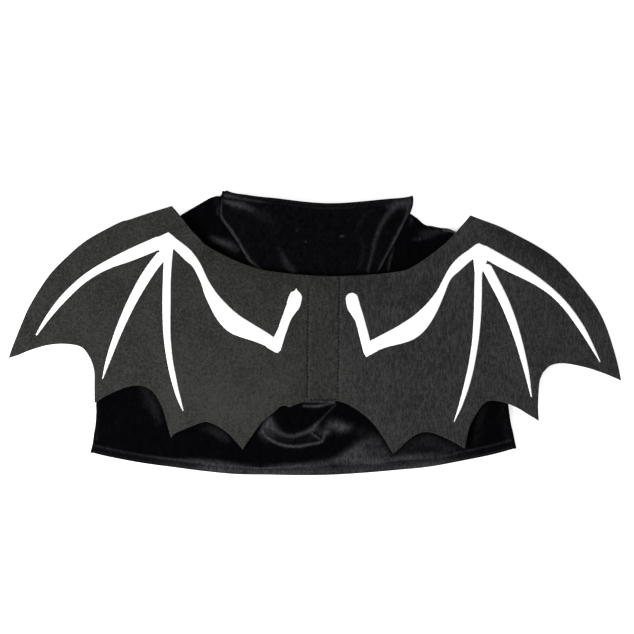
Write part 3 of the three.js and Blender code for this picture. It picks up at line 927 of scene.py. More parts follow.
@dataclass
class BonePrint:
    """The white arm bones printed on one wing, as one film."""

    side: Side
    pattern: BonePattern
    felt: FeltWings
    pitch: float = 0.5
    thickness: float = 0.3
    lift: float = 0.28
    rim: float = 0.5
    rim_share: float = 0.35
    shrink: float = 0.17
    step: float = 0.4
    reach: float = 9.0
    least_slope: float = 0.25

    def centre_line(self, stroke: BoneStroke) -> Array:
        """Spline through a bone's stations, as rows of (across, along, half width) in millimetres."""
        return drawn_line(stroke.stations, LAYOUT.pixel / 2.0, self.step)

    def outline_distance(self, points: Array) -> Array:
        """Signed distance to the print's outline: the least over its strokes and joint areas.

        A stroke's is the distance to its centre line less half its width there. The print ends a little
        inside the drawn outline.

        Args:
            points: Cutting-frame points, one row each.

        Returns:
            Distances, negative inside the print.
        """
        total = np.full(len(points), self.reach)
        for stroke in self.pattern.strokes:
            line = self.centre_line(stroke)
            near = in_box(points, line[:, :2], self.reach)
            distance, row = nearest(points[near], line[:, :2])
            total[near] = np.minimum(total[near], distance - line[row, 2])
        for corners in self.pattern.areas:
            total = np.minimum(total, polygon_distance(points, LAYOUT.from_photo(corners)))
        return total + self.shrink

    def joined_cells(self, inside: Array) -> Array:
        """Cells of the print, with one more wherever two of them meet at a corner only.

        Args:
            inside: Whether each cell of the lattice is in the print.

        Returns:
            The same for the joined print.
        """
        first, second, third, fourth = quarters(inside)
        joined = inside.copy()
        joined[1:, :-1] |= first & fourth & ~second & ~third
        joined[:-1, :-1] |= second & third & ~first & ~fourth
        return joined

    def build(self) -> Piece:
        """Film on a lattice: cells whose middle is inside stay, and their border points slide to the outline.

        The film lies on the felt's top and thins towards its border.

        Returns:
            The print of this wing.
        """
        lines = np.concatenate([self.centre_line(stroke)[:, :2] for stroke in self.pattern.strokes])
        low, high = lines.min(axis=0) - self.reach, lines.max(axis=0) + self.reach
        across = np.arange(low[0], high[0], self.pitch)
        along = np.arange(low[1], high[1], self.pitch)
        x, y = np.meshgrid(across, along, indexing="ij")
        points = np.stack([x.ravel(), y.ravel()], axis=1)
        distance = self.outline_distance(points).reshape(x.shape)
        inside = self.joined_cells(quarters(distance).mean(axis=0) < 0.0)
        around = quarters(np.pad(inside, 1))
        border = around.any(axis=0) & ~around.all(axis=0)
        slope_x, slope_y = np.gradient(distance, self.pitch)
        steep = np.maximum(slope_x**2 + slope_y**2, self.least_slope)
        x = np.where(border, x - distance * slope_x / steep, x)
        y = np.where(border, y - distance * slope_y / steep, y)
        depth = np.clip(-np.where(border, 0.0, distance) / self.rim, 0.0, 1.0)
        crown = np.sqrt(1.0 - (1.0 - depth) ** 2)
        film = self.lift * (self.rim_share + (1.0 - self.rim_share) * crown)
        z = self.felt.middle(x, y) + self.felt.thickness / 2.0 + film
        row, column = np.nonzero(inside)
        count = x.shape[1]
        corner = row * count + column
        faces = np.stack([corner, corner + count, corner + count + 1, corner + 1], axis=1)
        used, renumbered = np.unique(faces, return_inverse=True)
        vertices = np.stack([x.ravel(), y.ravel(), z.ravel()], axis=1)[used]
        piece = make_piece(f"{self.side.value}_bone_print", vertices, renumbered.reshape(-1, 4))
        wall = piece.modifiers.new("film", "SOLIDIFY")
        wall.thickness = self.thickness * MM
        wall.offset = -1.0
        return piece

    def dress(self, piece: Piece, white: Material) -> None:
        """Gives the film its material and body, and hides its CAD node."""
        finish_piece(piece, white, (f"{self.side.value}_bones",))


# Velvet capelet and collar


@dataclass(frozen=True)
class Panel:
    """A cloth panel between a lower and an upper edge, with a folded line at each side."""

    low: Edge
    high: Edge
    sides: tuple[Edge, Edge]
    side_pull: float = 4.0

    def points(self, u: Array, v: Array) -> Array:
        """Plan of the panel on a grid.

        A point is the blend of the two edges by v. Near the sides it is drawn out to the side lines, with a
        power of the way from the middle.

        Args:
            u: Shares across, from the left side to the right.
            v: Shares along, from the lower edge to the upper.

        Returns:
            Points with one row for each v and one column for each u.
        """
        rise = v[:, None, None]
        plan = self.low.points(u)[None] * (1.0 - rise) + self.high.points(u)[None] * rise
        ends = np.array([0.0, 1.0])
        corners = zip((0, 1), self.low.points(ends), self.high.points(ends), self.sides)
        for end, low, high, side in corners:
            straight = low * (1.0 - v[:, None]) + high * v[:, None]
            beside = (u >= 0.5) == bool(end)
            pull = np.abs(2.0 * u - 1.0) ** self.side_pull * beside
            plan = plan + (side.points(v) - straight)[:, None, :] * pull[None, :, None]
        return plan


@dataclass(frozen=True)
class HemPaintedSheen:
    """Painted sheen of a turned hem: highlights on its edge, on a band up to the stitches and on the
    swelling.

    Each station is (pixel across, edge's strength, band's strength, swelling's strength, the swelling's way
    from the hem in millimetres). A negative strength paints shade.
    """

    stations: Stations

    def along(self, x: Array) -> list[Array]:
        """The columns after the first, each blended between the stations beside each place.

        Args:
            x: Cutting-frame places across.

        Returns:
            Strengths of the edge, the band and the swelling, and the swelling's way from the hem.
        """
        across, *columns = np.array(self.stations).T
        place = LAYOUT.pixel * (across - LAYOUT.photo_x)
        return [np.interp(x, place, column) for column in columns]


@dataclass
class VelvetTube:
    """A flattened ring of velvet: a back panel, a folded side, a front panel and the other side."""

    name: str
    node: str
    cloth: Cloth
    back: Panel
    front: Panel
    left_turn: tuple[float, float]
    right_turn: tuple[float, float]
    roll: float
    loft: Stations
    columns: Spans
    rows: Spans
    folds: tuple[Brush, ...]
    # Painted sheen marks (on the collar also lint specks), the hem's painted sheen and an even ground tone
    tone_and_painted_sheen: tuple[Brush, ...]
    hem_painted_sheen: HemPaintedSheen
    hem_at_top: bool
    waves: tuple[Wave, ...]
    ground_tone: float = 0.0
    seam_rise: float = 0.0
    seam_width: float = 2.2
    thickness: float = 1.5
    lining_gap: float = 0.4
    side_slope: float = 0.2
    hem_depth: float = 4.4
    hem_rise: float = 0.4
    hem_step: float = 1.2
    hem_fade: float = 0.02
    groove: float = 0.3
    groove_width: float = 0.6
    puff_at: float = 6.4
    puff_width: float = 1.0
    puff_rise: float = 0.3
    swell_width: float = 0.85
    # Where the hem's painted sheen lies: a highlight on the edge, a dip at the stitches, a highlight on the
    # swelling
    edge_at: float = 1.5
    edge_width: float = 0.75
    dip_share: float = 0.35
    dip_width: float = 0.9
    band_fade: float = 2.0
    rim_reach: float = 0.9
    front_columns: int = 40
    roll_steps: int = 8
    lining_rows: int = 24
    rim_steps: int = 4
    stitch_length: float = 2.3
    stitch_radius: float = 0.16
    stitch_inset: int = 6

    def side_share(self, u: Array) -> Array:
        """Share of the loft that is left near the folded sides."""
        return ease(u / self.side_slope) * ease((1.0 - u) / self.side_slope)

    def level(self, v: Array) -> Array:
        """Loft of the back over the floor, eased between the stations of the table.

        Args:
            v: Shares along the tube.

        Returns:
            The loft at each share.
        """
        table = np.array(self.loft)
        above = np.clip(np.searchsorted(table[:, 0], v), 1, len(table) - 1)
        low, high = table[above - 1], table[above]
        share = (v - low[:, 0]) / (high[:, 0] - low[:, 0])
        return low[:, 1] + (high[:, 1] - low[:, 1]) * ease(share)

    def from_hem(self, plan: Array) -> Array:
        """Distance from the hem, measured along each column.

        Args:
            plan: Points of the back on its grid.

        Returns:
            The distance of each point.
        """
        steps = np.linalg.norm(np.diff(plan, axis=0), axis=2)
        travel = np.concatenate([np.zeros((1, steps.shape[1])), np.cumsum(steps, axis=0)])
        return (travel[-1] - travel if self.hem_at_top else travel) + self.rim_reach

    def trim(self, u: Array, plan: Array) -> Array:
        """Rise of the turned hem, its stitched dent and swelling, and of the rolled seam.

        The hem is a step at its depth. The dent, the swelling and the seam are bell curves.

        Args:
            u: Shares across.
            plan: Points of the back on its grid.

        Returns:
            The rise at each point.
        """
        hem_way = self.from_hem(plan)
        seam_way = hem_way.max(axis=0) + self.rim_reach - hem_way
        fade = ease(u / self.hem_fade) * ease((1.0 - u) / self.hem_fade)
        hem = self.hem_rise * (1.0 - ease((hem_way - self.hem_depth) / self.hem_step))
        dent = self.groove * bell(hem_way - self.hem_depth, self.groove_width)
        seam = self.seam_rise * bell(seam_way, self.seam_width)
        puff = self.puff_rise * bell(hem_way - self.puff_at, self.puff_width)
        return (hem - dent + puff + seam) * fade[None]

    def sheen_tone(self, plan: Array) -> Array:
        """Tone and painted sheen of the back: ground tone, marks, and the hem's edge, band and swelling.

        The edge and the swelling are bell curves of the way from the hem. The band is even up to the
        stitches, where it dips, and then fades out.

        Args:
            plan: Points of the back on its grid.

        Returns:
            The tone and painted sheen at each point.
        """
        x, y = plan[:, :, 0], plan[:, :, 1]
        hem_way = self.from_hem(plan)
        edge, band, swelling, middle = self.hem_painted_sheen.along(x)
        rim = edge * bell(hem_way - self.edge_at, self.edge_width)
        dip = self.dip_share * bell(hem_way - self.hem_depth, self.dip_width)
        flat = band * (1.0 - dip) * (1.0 - ease((hem_way - self.hem_depth) / self.band_fade))
        swell = swelling * bell(hem_way - middle, self.swell_width)
        # Even ground tone, painted sheen marks and the hem's painted sheen and shade
        return self.ground_tone + marks(self.tone_and_painted_sheen, x, y) + rim + flat + swell

    def roll_points(self, v: Array, u: float, radius: float) -> Array:
        """Half round of a folded side: points at the radius about the fold's axis, in its bulging direction.

        Args:
            v: Shares along the tube.
            u: 1 for the right side, which runs from the back to the front, and 0 for the left.
            radius: Radius of the half round.

        Returns:
            Points with one row for each v.
        """
        begin, end = self.right_turn if u else self.left_turn
        way = heading(begin + (end - begin) * v)
        angle = math.pi * np.arange(1, self.roll_steps) / self.roll_steps
        foot = self.back.points(np.array([u]), v)[:, 0]
        plan = foot[:, None, :] + way[:, None, :] * (radius * np.sin(angle))[None, :, None]
        rise = self.roll + radius * np.cos(angle) * (1.0 if u else -1.0)
        return np.concatenate([plan, np.broadcast_to(rise[None, :, None], plan.shape[:2] + (1,))], axis=2)

    def rings(self, v: Array, lining: bool) -> tuple[Array, Array]:
        """Closed rings of the face or the lining, one for each v, with the tone and painted sheen of their
        points.

        The face of the back is the rolled side's height blended to the loft, with the folds, swells and trim
        on it. The lining stays a cloth's thickness below the loft.

        Args:
            v: Shares along the tube.
            lining: Whether the inner side is asked for.

        Returns:
            Ring points with one row for each v, and the tone and painted sheen at each of them.
        """
        u = spread(self.columns)
        slope = self.side_share(u)[None]
        plan = self.back.points(u, v)
        x, y = plan[:, :, 0], plan[:, :, 1]
        z = 2.0 * self.roll + (self.level(v)[:, None] - 2.0 * self.roll) * slope
        if lining:
            z = z - self.thickness - self.lining_gap * slope
        else:
            swell = sum(wave.lift(x, y) for wave in self.waves)
            z = z + slope * (marks(self.folds, x, y) + swell) + self.trim(u, plan)
        back = np.concatenate([plan, z[:, :, None]], axis=2)
        radius = self.roll - (self.thickness if lining else 0.0)
        flat = self.front.points(np.linspace(1.0, 0.0, self.front_columns + 1), v)
        floor = np.full(flat.shape[:2] + (1,), self.thickness if lining else 0.0)
        front = np.concatenate([flat, floor], axis=2)
        ring = [back, self.roll_points(v, 1.0, radius), front, self.roll_points(v, 0.0, radius)]
        tone_and_painted_sheen = [self.sheen_tone(plan)] + [np.zeros(part.shape[:2]) for part in ring[1:]]
        return np.concatenate(ring, axis=1), np.concatenate(tone_and_painted_sheen, axis=1)

    def rim(self, face: Array, lining: Array, inside: Array) -> Array:
        """Rounded edge between the face and the lining.

        Args:
            face: Last ring of the face.
            lining: Ring of the lining at the same edge.
            inside: Ring of the face just inside the edge, which gives the way out.

        Returns:
            Rings of a half ellipse from the face over the edge to the lining.
        """
        middle, reach = (face + lining) / 2.0, (face - lining) / 2.0
        way = face - inside
        way[:, 2] = 0.0
        way /= np.maximum(np.linalg.norm(way, axis=1, keepdims=True), TINY)
        angle = math.pi * np.arange(1, self.rim_steps) / self.rim_steps
        return np.stack([middle + reach * math.cos(a) + way * self.rim_reach * math.sin(a) for a in angle])

    def along(self) -> Array:
        """Shares along the tube for its rows, short of both edges by the reach of their rims."""
        ends = self.back.points(np.array([0.5]), np.array([0.0, 1.0]))[:, 0]
        inset = self.rim_reach / np.linalg.norm(ends[1] - ends[0])
        return inset + (1.0 - 2.0 * inset) * spread(self.rows)

    def stitch_path(self) -> Array:
        """Line on the back's face at the hem's depth: each column is blended between the rows beside it.

        Returns:
            Cutting-frame points from the left side to the right.
        """
        v = self.along()
        u = spread(self.columns)
        face = self.rings(v, False)[0][:, : len(u)]
        away = self.from_hem(face[:, :, :2])
        if self.hem_at_top:
            face, away = face[::-1], away[::-1]
        above = np.clip((away < self.hem_depth).sum(axis=0), 1, len(v) - 1)
        column = np.arange(len(u))
        low, high = away[above - 1, column], away[above, column]
        share = ((self.hem_depth - low) / (high - low))[:, None]
        line = face[above - 1, column] * (1.0 - share) + face[above, column] * share
        return line[self.stitch_inset : -self.stitch_inset]

    def build(self) -> Piece:
        """Closed wall: face rings upward, the upper rim, lining rings downward and the lower rim.

        Returns:
            The velvet piece.
        """
        v = self.along()
        face, tone_and_painted_sheen = self.rings(v, False)
        lining, _ = self.rings(v[:: -max(1, len(v) // self.lining_rows)], True)
        first, last = self.rings(v[[0, -1]], True)[0]
        lining = np.concatenate([last[None], lining[1:-1], first[None]])
        upper = self.rim(face[-1], last, face[-2])
        lower = self.rim(face[0], first, face[1])[::-1]
        grid = np.concatenate([face, upper, lining, lower])
        # The tone and painted sheen, carried as a vertex attribute
        values = np.zeros(grid.shape[:2])
        values[: len(tone_and_painted_sheen)] = tone_and_painted_sheen
        values[len(tone_and_painted_sheen) : len(tone_and_painted_sheen) + len(upper)] = tone_and_painted_sheen[-1]
        values[-len(lower) :] = tone_and_painted_sheen[0]
        faces = strip_faces(grid.shape[0], grid.shape[1], True, True)
        return make_piece(self.name, grid.reshape(-1, 3), faces, {"tone_and_painted_sheen": values})

    def dress(self, piece: Piece, velvet: Material, thread: Material) -> None:
        """Args:
            piece: The velvet piece.
            velvet: Its material.
            thread: The material of the hem's stitches.
        """
        finish_piece(piece, velvet, (self.node,))
        name = f"{self.node}_hem_stitches"
        hem = StitchRow(name, self.stitch_path(), self.stitch_length, self.stitch_radius)
        self.cloth.declare(piece, [hem.sew(thread, Slot.VELVET)])


# Edges of the capelet and the collar in pixels, each from left to right or from below upwards
BACK_HEM = (
    (92.8, 453.7), (108.5, 457.4), (140.5, 463.2), (172.5, 467.4), (204.5, 471.4), (236.5, 474.3),
    (268.5, 474.8), (300.5, 475.3), (332.5, 474.8), (364.5, 472.8), (396.5, 470.1), (428.5, 467.0),
    (460.5, 461.4), (492.5, 455.1), (513.8, 449.4),
)
FRONT_HEM = ((92.8, 453.7), (172.5, 462), (300, 469), (430, 461), (513.8, 449.4))
LEFT_FOLD = (
    (92.8, 453.7), (95.3, 444.7), (96.8, 434.5), (98.4, 424.5), (99.2, 412), (99.1, 403), (101.6, 386),
    (108.5, 338.5), (124.5, 282), (152, 238), (178, 220), (192, 211.4), (206, 203.2), (214, 198.9),
    (221.8, 197.0),
)
RIGHT_FOLD = (
    (513.8, 449.4), (511.8, 441), (509.9, 431.5), (507.6, 421.5), (502.5, 386), (494, 338.5), (482, 291),
    (467, 252), (456, 237), (447.5, 231.1), (438.5, 230.0), (430.5, 228.4), (422.5, 226.8),
    (415.5, 220.8), (407.6, 215.4),
)
BACK_NECKLINE = (
    (221.8, 197.0), (220.5, 208.5), (220.4, 217), (228.6, 229.2), (236.6, 240.9), (243.8, 253),
    (250.2, 263), (266, 273.6), (292, 282), (323, 287), (350, 288), (368, 281), (379.2, 271),
    (386.4, 257.5), (393.7, 244.5), (400.8, 230.6), (408.5, 215.6),
)
FRONT_NECKLINE = ((221.8, 197.0), (252, 233.5), (311, 248.5), (377, 237), (408.5, 215.6))
BACK_COLLAR_TOP = (
    (224.8, 192.0), (226.6, 191.4), (230.4, 192.7), (236, 193.9), (243.5, 194.8), (259.5, 196.9),
    (275.5, 198.2), (291.5, 200.1), (307.5, 201.9), (323.5, 203.0), (339.5, 202.9), (355.5, 201.9),
    (371.5, 200.6), (387.5, 199.3), (403.5, 198.2), (410.3, 197.1),
)
FRONT_COLLAR_TOP = ((224.8, 192.0), (280, 203), (317, 207), (355, 206), (410.3, 197.1))
COLLAR_LEFT_FOLD = ((222.4, 197.4), (224.3, 195.3), (224.8, 192.0))
COLLAR_RIGHT_FOLD = ((408.9, 214.8), (410.6, 208), (411, 202), (410.3, 197.1))
SEAM_GAP = 0.3

# Heights of the folds in millimetres, and strengths of the painted sheen: painted highlights on folds, seams
# and corners, and on the collar three lint specks
CAPE_FOLDS = (
    Brush("hollow", (
        (278, 418, 5, -0.4), (291, 420, 8, -1.2), (306, 416, 6, -1.2), (318, 408, 4, -0.3),
    ), 3.0),
    Brush("crescent", (
        (263, 430, 3.0, 0.0), (268, 434.5, 4.0, 1.3), (277, 438.5, 4.6, 2.0), (288, 441, 4.8, 2.2),
        (300, 440.5, 5.0, 2.1), (312, 436.5, 4.4, 1.6), (322, 431, 2.6, 0.2),
    ), 3.0),
    Brush("upstroke", ((312, 430, 2.0, 0.4), (322, 418.5, 1.8, 0.9), (335.5, 404.5, 1.6, 0.5))),
    Brush("short fold", ((311, 432.5, 1.4, 0.2), (315.5, 435.8, 1.4, 0.7), (320, 439, 1.4, 0.2))),
    Brush("side dome", ((328, 424, 5.0, 0.4), (341, 427, 6.0, 1.5), (354, 426, 5.0, 0.3))),
    Brush("sheen slope", (
        (330, 462, 6, 0.3), (352, 455, 9, 0.9), (374, 447, 9, 0.8), (388, 450, 7, 0.3),
    )),
    Brush("lip under the bar", ((301, 404.4, 1.8, 0.2), (317, 404.6, 2.2, 0.9), (336, 402.4, 1.8, 0.2))),
    Brush("crease beside the collar", ((396, 246, 1.5, 0.3), (391, 259, 1.6, 0.8), (388, 272, 1.6, 0.4))),
    Brush("shoulder fold", ((216.8, 200, 1.3, 0.3), (216.6, 208, 1.3, 0.8), (217, 217, 1.4, 0.4))),
    Brush("left shoulder slope", ((209, 237, 4, 0.2), (222, 242, 5, 0.8), (238, 249, 5, 0.5))),
    Brush("right shoulder bump", ((411, 219, 3.0, 0.4), (418, 224, 3.5, 1.1), (424, 231, 3, 0.3))),
)
CAPE_PAINTED_SHEEN = (
    Brush("inner band", (
        (270, 417.5, 2.2, 0.18), (267.5, 424.5, 4.0, 0.36), (272, 429.5, 4.2, 0.44),
        (278.5, 432.5, 3.0, 0.44), (285, 435.3, 2.0, 0.52), (292.5, 436.3, 1.8, 0.64),
        (300, 434.4, 1.8, 0.6), (307.8, 431.7, 2.0, 0.6), (313.3, 428.3, 2.2, 0.64),
        (317, 424, 1.8, 0.44), (322.2, 418.3, 1.1, 0.26), (329, 411.5, 0.9, 0.2),
        (335.6, 404.4, 0.9, 0.2),
    )),
    Brush("outer line", (
        (261.7, 430, 1.4, 0.3), (265.6, 436, 1.4, 0.52), (271, 440, 1.3, 0.64), (278, 443.7, 1.3, 0.6),
        (287, 445.9, 1.3, 0.62), (298, 446.3, 1.3, 0.66), (307, 444.8, 1.3, 0.64),
        (316, 443.2, 1.2, 0.66), (321.3, 441.8, 1.3, 0.58), (323.8, 437.5, 1.5, 0.35),
        (326, 432, 2.0, 0.25),
    )),
    Brush("short fold line", (
        (311.5, 432.8, 0.9, 0.4), (315.5, 435.8, 0.9, 0.65), (319.5, 438.8, 0.9, 0.5),
    )),
    Brush("lens between", (
        (269, 434, 2.2, 0.06), (284, 440.5, 2.6, 0.03), (302, 440, 3.0, 0.03), (317, 435, 3, 0.1),
    )),
    Brush("left haze", (
        (261, 431, 2.6, 0.22), (265, 426.5, 3.6, 0.36), (270, 420.5, 3.2, 0.38), (273.5, 426, 3.2, 0.3),
    )),
    Brush("below the left haze", (
        (263.5, 432, 2.0, 0.2), (267.5, 432.5, 2.0, 0.26), (272, 434.5, 1.8, 0.12),
    )),
    Brush("left fringe", ((259.5, 432, 2.4, 0.1), (262.5, 437, 2.6, 0.12), (267, 442, 2.2, 0.04))),
    Brush("right of the fold", (
        (315, 430.5, 2.0, 0.14), (319, 430, 2.4, 0.2), (322, 434, 2.6, 0.18), (328, 432, 3.0, 0.16),
    )),
    Brush("dome sheen", (
        (325.5, 430, 4.0, 0.2), (332.5, 425, 4.6, 0.46), (341, 427, 4.8, 0.62), (347, 427.4, 4.0, 0.4),
        (353, 425, 2.8, 0.06),
    )),
    Brush("right haze", ((352, 431, 4, 0.03), (364, 433, 5, 0.06), (377, 439, 5, 0.08))),
    Brush("broad sheen", (
        (332, 461, 3.0, 0.2), (341, 458.2, 3.8, 0.42), (350, 453, 4.4, 0.46), (359, 447.4, 5.0, 0.46),
        (369, 443, 4.8, 0.34), (379, 442.6, 4.2, 0.18),
    )),
    Brush("within the sheen", (
        (351, 457, 3.6, 0.16), (360, 454.5, 4.6, 0.46), (371, 452.5, 4.6, 0.34), (384, 452, 5.4, 0.34),
    )),
    Brush("sheen beside the hem", (
        (338, 463, 4.2, 0.25), (350, 461.5, 4.5, 0.44), (365, 461, 4.2, 0.54), (380, 460.4, 3.6, 0.5),
        (392, 459.2, 3.0, 0.38), (402, 458.2, 3.3, 0.46), (415, 456.8, 3.4, 0.42), (428, 455.6, 3.2, 0.3),
        (441, 453.8, 3.2, 0.15), (452, 451.6, 2.4, 0.04),
    )),
    Brush("above the hem", (
        (178, 458.6, 1.5, 0.02), (190, 460, 2.2, 0.16), (205, 462, 2.7, 0.32), (220, 463.2, 2.4, 0.36),
        (240, 465, 1.8, 0.16), (260, 465.4, 1.4, 0.02), (280, 465.6, 2.2, 0.2), (300, 465.6, 2.4, 0.42),
        (315, 465.2, 3.4, 0.38), (328, 463.8, 4.0, 0.32),
    )),
    Brush("left lobe sheen", (
        (144, 388, 5, 0.07), (150, 399, 6.4, 0.11), (155, 410, 5.6, 0.1), (159, 421, 4, 0.06),
    )),
    Brush("second lobe sheen", (
        (204, 427, 3.6, 0.05), (212, 430, 4.2, 0.11), (220, 434.4, 4.2, 0.16), (227, 439, 3.4, 0.1),
    )),
    Brush("right lobe haze", (
        (402, 450, 5, 0.07), (425, 442, 8, 0.12), (447, 447, 6, 0.12), (459, 450, 5, 0.05),
    ), 3.0),
    Brush("far lobe sheen", (
        (487, 405, 3.6, 0.06), (481, 412, 4.0, 0.12), (478, 428, 3.6, 0.06), (476, 442, 4, 0.05),
    )),
    Brush("far lobe edge", ((503, 404, 4, 0.03), (506, 425, 4, 0.04), (508, 440, 4, 0.04))),
    Brush("left edge", ((97.5, 405, 0.9, 0.12), (97.4, 420, 0.9, 0.16), (95.6, 440, 0.9, 0.14))),
    Brush("lip lines", (
        (303.5, 405.8, 1.0, 0.45), (312, 406.2, 1.1, 0.66), (321, 405.7, 1.1, 0.6),
        (334, 402.6, 1.0, 0.4),
    )),
    Brush("lip top", ((304, 401.9, 0.8, 0.5), (318, 401.7, 0.9, 0.85), (334, 401.9, 1.0, 0.85))),
    Brush("shoulder fold line", (
        (216.2, 198.6, 0.7, 0.16), (216.8, 206, 0.7, 0.2), (218, 215, 0.7, 0.16),
    )),
    Brush("shoulder fold", ((219, 200, 1.8, 0.05), (219.2, 214, 1.6, 0.06))),
    Brush("left shoulder sheen", (
        (210, 237, 2.4, 0.07), (217, 240.2, 3.0, 0.3), (228, 244, 3.4, 0.32), (237, 249, 3.2, 0.22),
    )),
    Brush("beside the collar", (
        (394.4, 247, 0.9, 0.12), (390.4, 259, 1.0, 0.26), (388.2, 271, 1.0, 0.24),
    )),
    Brush("right shoulder bump", (
        (411.5, 217, 1.8, 0.1), (411.5, 220, 2.0, 0.17), (410, 223, 1.8, 0.06),
    )),
    Brush("right shoulder sheen", (
        (421, 234, 3.0, 0.1), (430, 233.4, 3.6, 0.2), (438, 231.6, 2.8, 0.14), (447, 232.6, 2, 0.06),
    )),
    Brush("right shoulder streak", (
        (414, 240, 1.6, 0.08), (420, 238.8, 1.6, 0.2), (426, 238, 1.5, 0.08),
    )),
)
# Painted sheen along the capelet's hem; negative edge strengths paint shade
CAPE_HEM_PAINTED_SHEEN = HemPaintedSheen((
    (95, 0.05, 0.03, 0.2, 6.2), (115, 0.04, 0.02, 0.16, 6.3), (130, 0.05, 0.02, 0.15, 6.3),
    (145, 0.05, 0.045, 0.17, 6.2), (160, 0.05, 0.06, 0.22, 6.2), (175, 0.1, 0.17, 0.33, 6.4),
    (190, 0.1, 0.1, 0.28, 6.5), (205, 0.08, 0.42, 0.3, 6.4), (220, 0.13, 0.6, 0.4, 6.4),
    (240, -0.12, 0.46, 0.38, 6.3), (260, -0.05, 0.56, 0.34, 5.2), (280, 0.1, 0.42, 0.32, 6.2),
    (300, -0.1, 0.54, 0.26, 7.3), (320, -0.2, 0.47, 0.02, 7.0), (340, -0.1, 0.38, 0.0, 7.0),
    (360, -0.02, 0.42, 0.2, 8.0), (380, -0.08, 0.36, 0.26, 7.1), (400, 0.02, 0.4, 0.14, 8.6),
    (415, 0.1, 0.42, 0.26, 7.6), (430, 0.17, 0.48, 0.24, 6.9), (445, 0.12, 0.24, 0.28, 6.5),
    (460, 0.1, 0.08, 0.22, 7.1), (475, 0.13, 0.04, 0.22, 7.3), (490, 0.13, 0.02, 0.15, 7.3),
    (512, 0.11, 0.02, 0.16, 7.4),
))
COLLAR_FOLDS = (
    Brush("inner crease", (
        (394, 208, 3.4, 0.2), (387, 216, 3.2, 0.9), (378, 232, 2.8, 1.2), (372, 254, 2.6, 1.1),
        (367.5, 272, 2.4, 0.7),
    )),
    Brush("faint crease", (
        (366, 216, 3, 0.0), (361, 232, 3, 0.25), (361, 250, 3, 0.3), (355, 270, 3, 0.25),
    )),
    Brush("left corner fold", (
        (224, 200, 3, 0.2), (239, 205, 4, 0.8), (258, 213, 4, 0.3), (276, 227, 4, 0.1),
    )),
    Brush("right corner fold", ((386, 205, 4, 0.2), (402, 203, 5, 0.8), (411, 202, 4, 0.3))),
    Brush("lower fold", ((275, 248, 4, 0.1), (283, 261, 4, 0.6), (291, 272, 4, 0.5))),
)
COLLAR_PAINTED_SHEEN_AND_LINT = (
    Brush("inner crease", (
        (393, 209.5, 2.6, 0.28), (387, 216, 2.6, 0.3), (378.5, 231, 2.2, 0.28), (372.5, 253, 1.8, 0.22),
        (368, 271, 1.6, 0.2),
    )),
    Brush("faint arc", ((370, 211, 2.4, 0.03), (361, 221, 2.4, 0.05), (356, 231, 2.2, 0.03))),
    Brush("faint crease", (
        (360, 236, 2.0, 0.03), (363, 245, 2.0, 0.06), (363, 255, 2.0, 0.05), (358, 268, 2.2, 0.05),
    )),
    Brush("left hem band", (
        (226, 195.6, 1.8, 0.4), (236, 197.6, 1.6, 0.32), (250, 200.2, 1.2, 0.28), (260, 201.6, 1.1, 0.2),
        (272, 203, 1.0, 0.04),
    )),
    Brush("left corner", (
        (225, 200.8, 1.8, 0.33), (229, 202.4, 2.2, 0.4), (234, 204, 2.6, 0.46), (241, 205.2, 3.0, 0.46),
        (247, 207, 2.6, 0.25), (252, 208.8, 2.4, 0.12),
    )),
    Brush("left streak", (
        (250, 209.4, 3.6, 0.1), (257, 212.5, 4.6, 0.08), (266, 217, 5.2, 0.05), (276, 226, 5.0, 0.02),
    )),
    Brush("right corner", (
        (389, 206.5, 3.0, 0.2), (397, 204.5, 3.6, 0.45), (405, 203.5, 4.0, 0.5), (411, 202, 3.8, 0.42),
    )),
    Brush("right corner's foot", ((409, 205, 2.5, 0.1), (408.5, 210, 2.4, 0.2), (407, 213, 2, 0.15))),
    Brush("lower sheen", (
        (279, 249, 2.4, 0.06), (284, 258, 2.8, 0.14), (288, 265, 3.0, 0.22), (293, 271, 3.0, 0.26),
    )),
    Brush("left seam", (
        (221.8, 199, 0.8, 0.3), (221.7, 215.6, 0.9, 0.45), (231.0, 229.6, 1.0, 0.52),
        (238.5, 241, 1.1, 0.56), (248.8, 259, 1.5, 0.58), (260, 268.6, 1.2, 0.3),
    )),
    Brush("right seam", (
        (407.6, 214, 1.3, 0.38), (397.2, 234.5, 1.5, 0.4), (391.5, 246, 1.6, 0.4),
        (379.6, 270, 1.6, 0.38),
    )),
    Brush("first speck", ((340.8, 236.3, 0.8, 0.45), (343.0, 236.1, 0.8, 0.45))),
    Brush("second speck", ((296.8, 230.2, 0.9, 0.2), (297.4, 230.6, 0.9, 0.2))),
    Brush("third speck", ((305.4, 242, 0.9, 0.2), (306.2, 242.2, 0.9, 0.2))),
)
# Painted sheen along the collar's top hem
COLLAR_HEM_PAINTED_SHEEN = HemPaintedSheen((
    (225, 0.05, 0.02, 0.0, 4.0), (260, 0.03, 0.0, 0.0, 4.0), (300, 0.05, 0.01, 0.02, 4.0),
    (330, 0.06, 0.01, 0.06, 4.2), (360, 0.05, 0.02, 0.02, 3.4), (410, 0.05, 0.04, 0.0, 4.0),
))


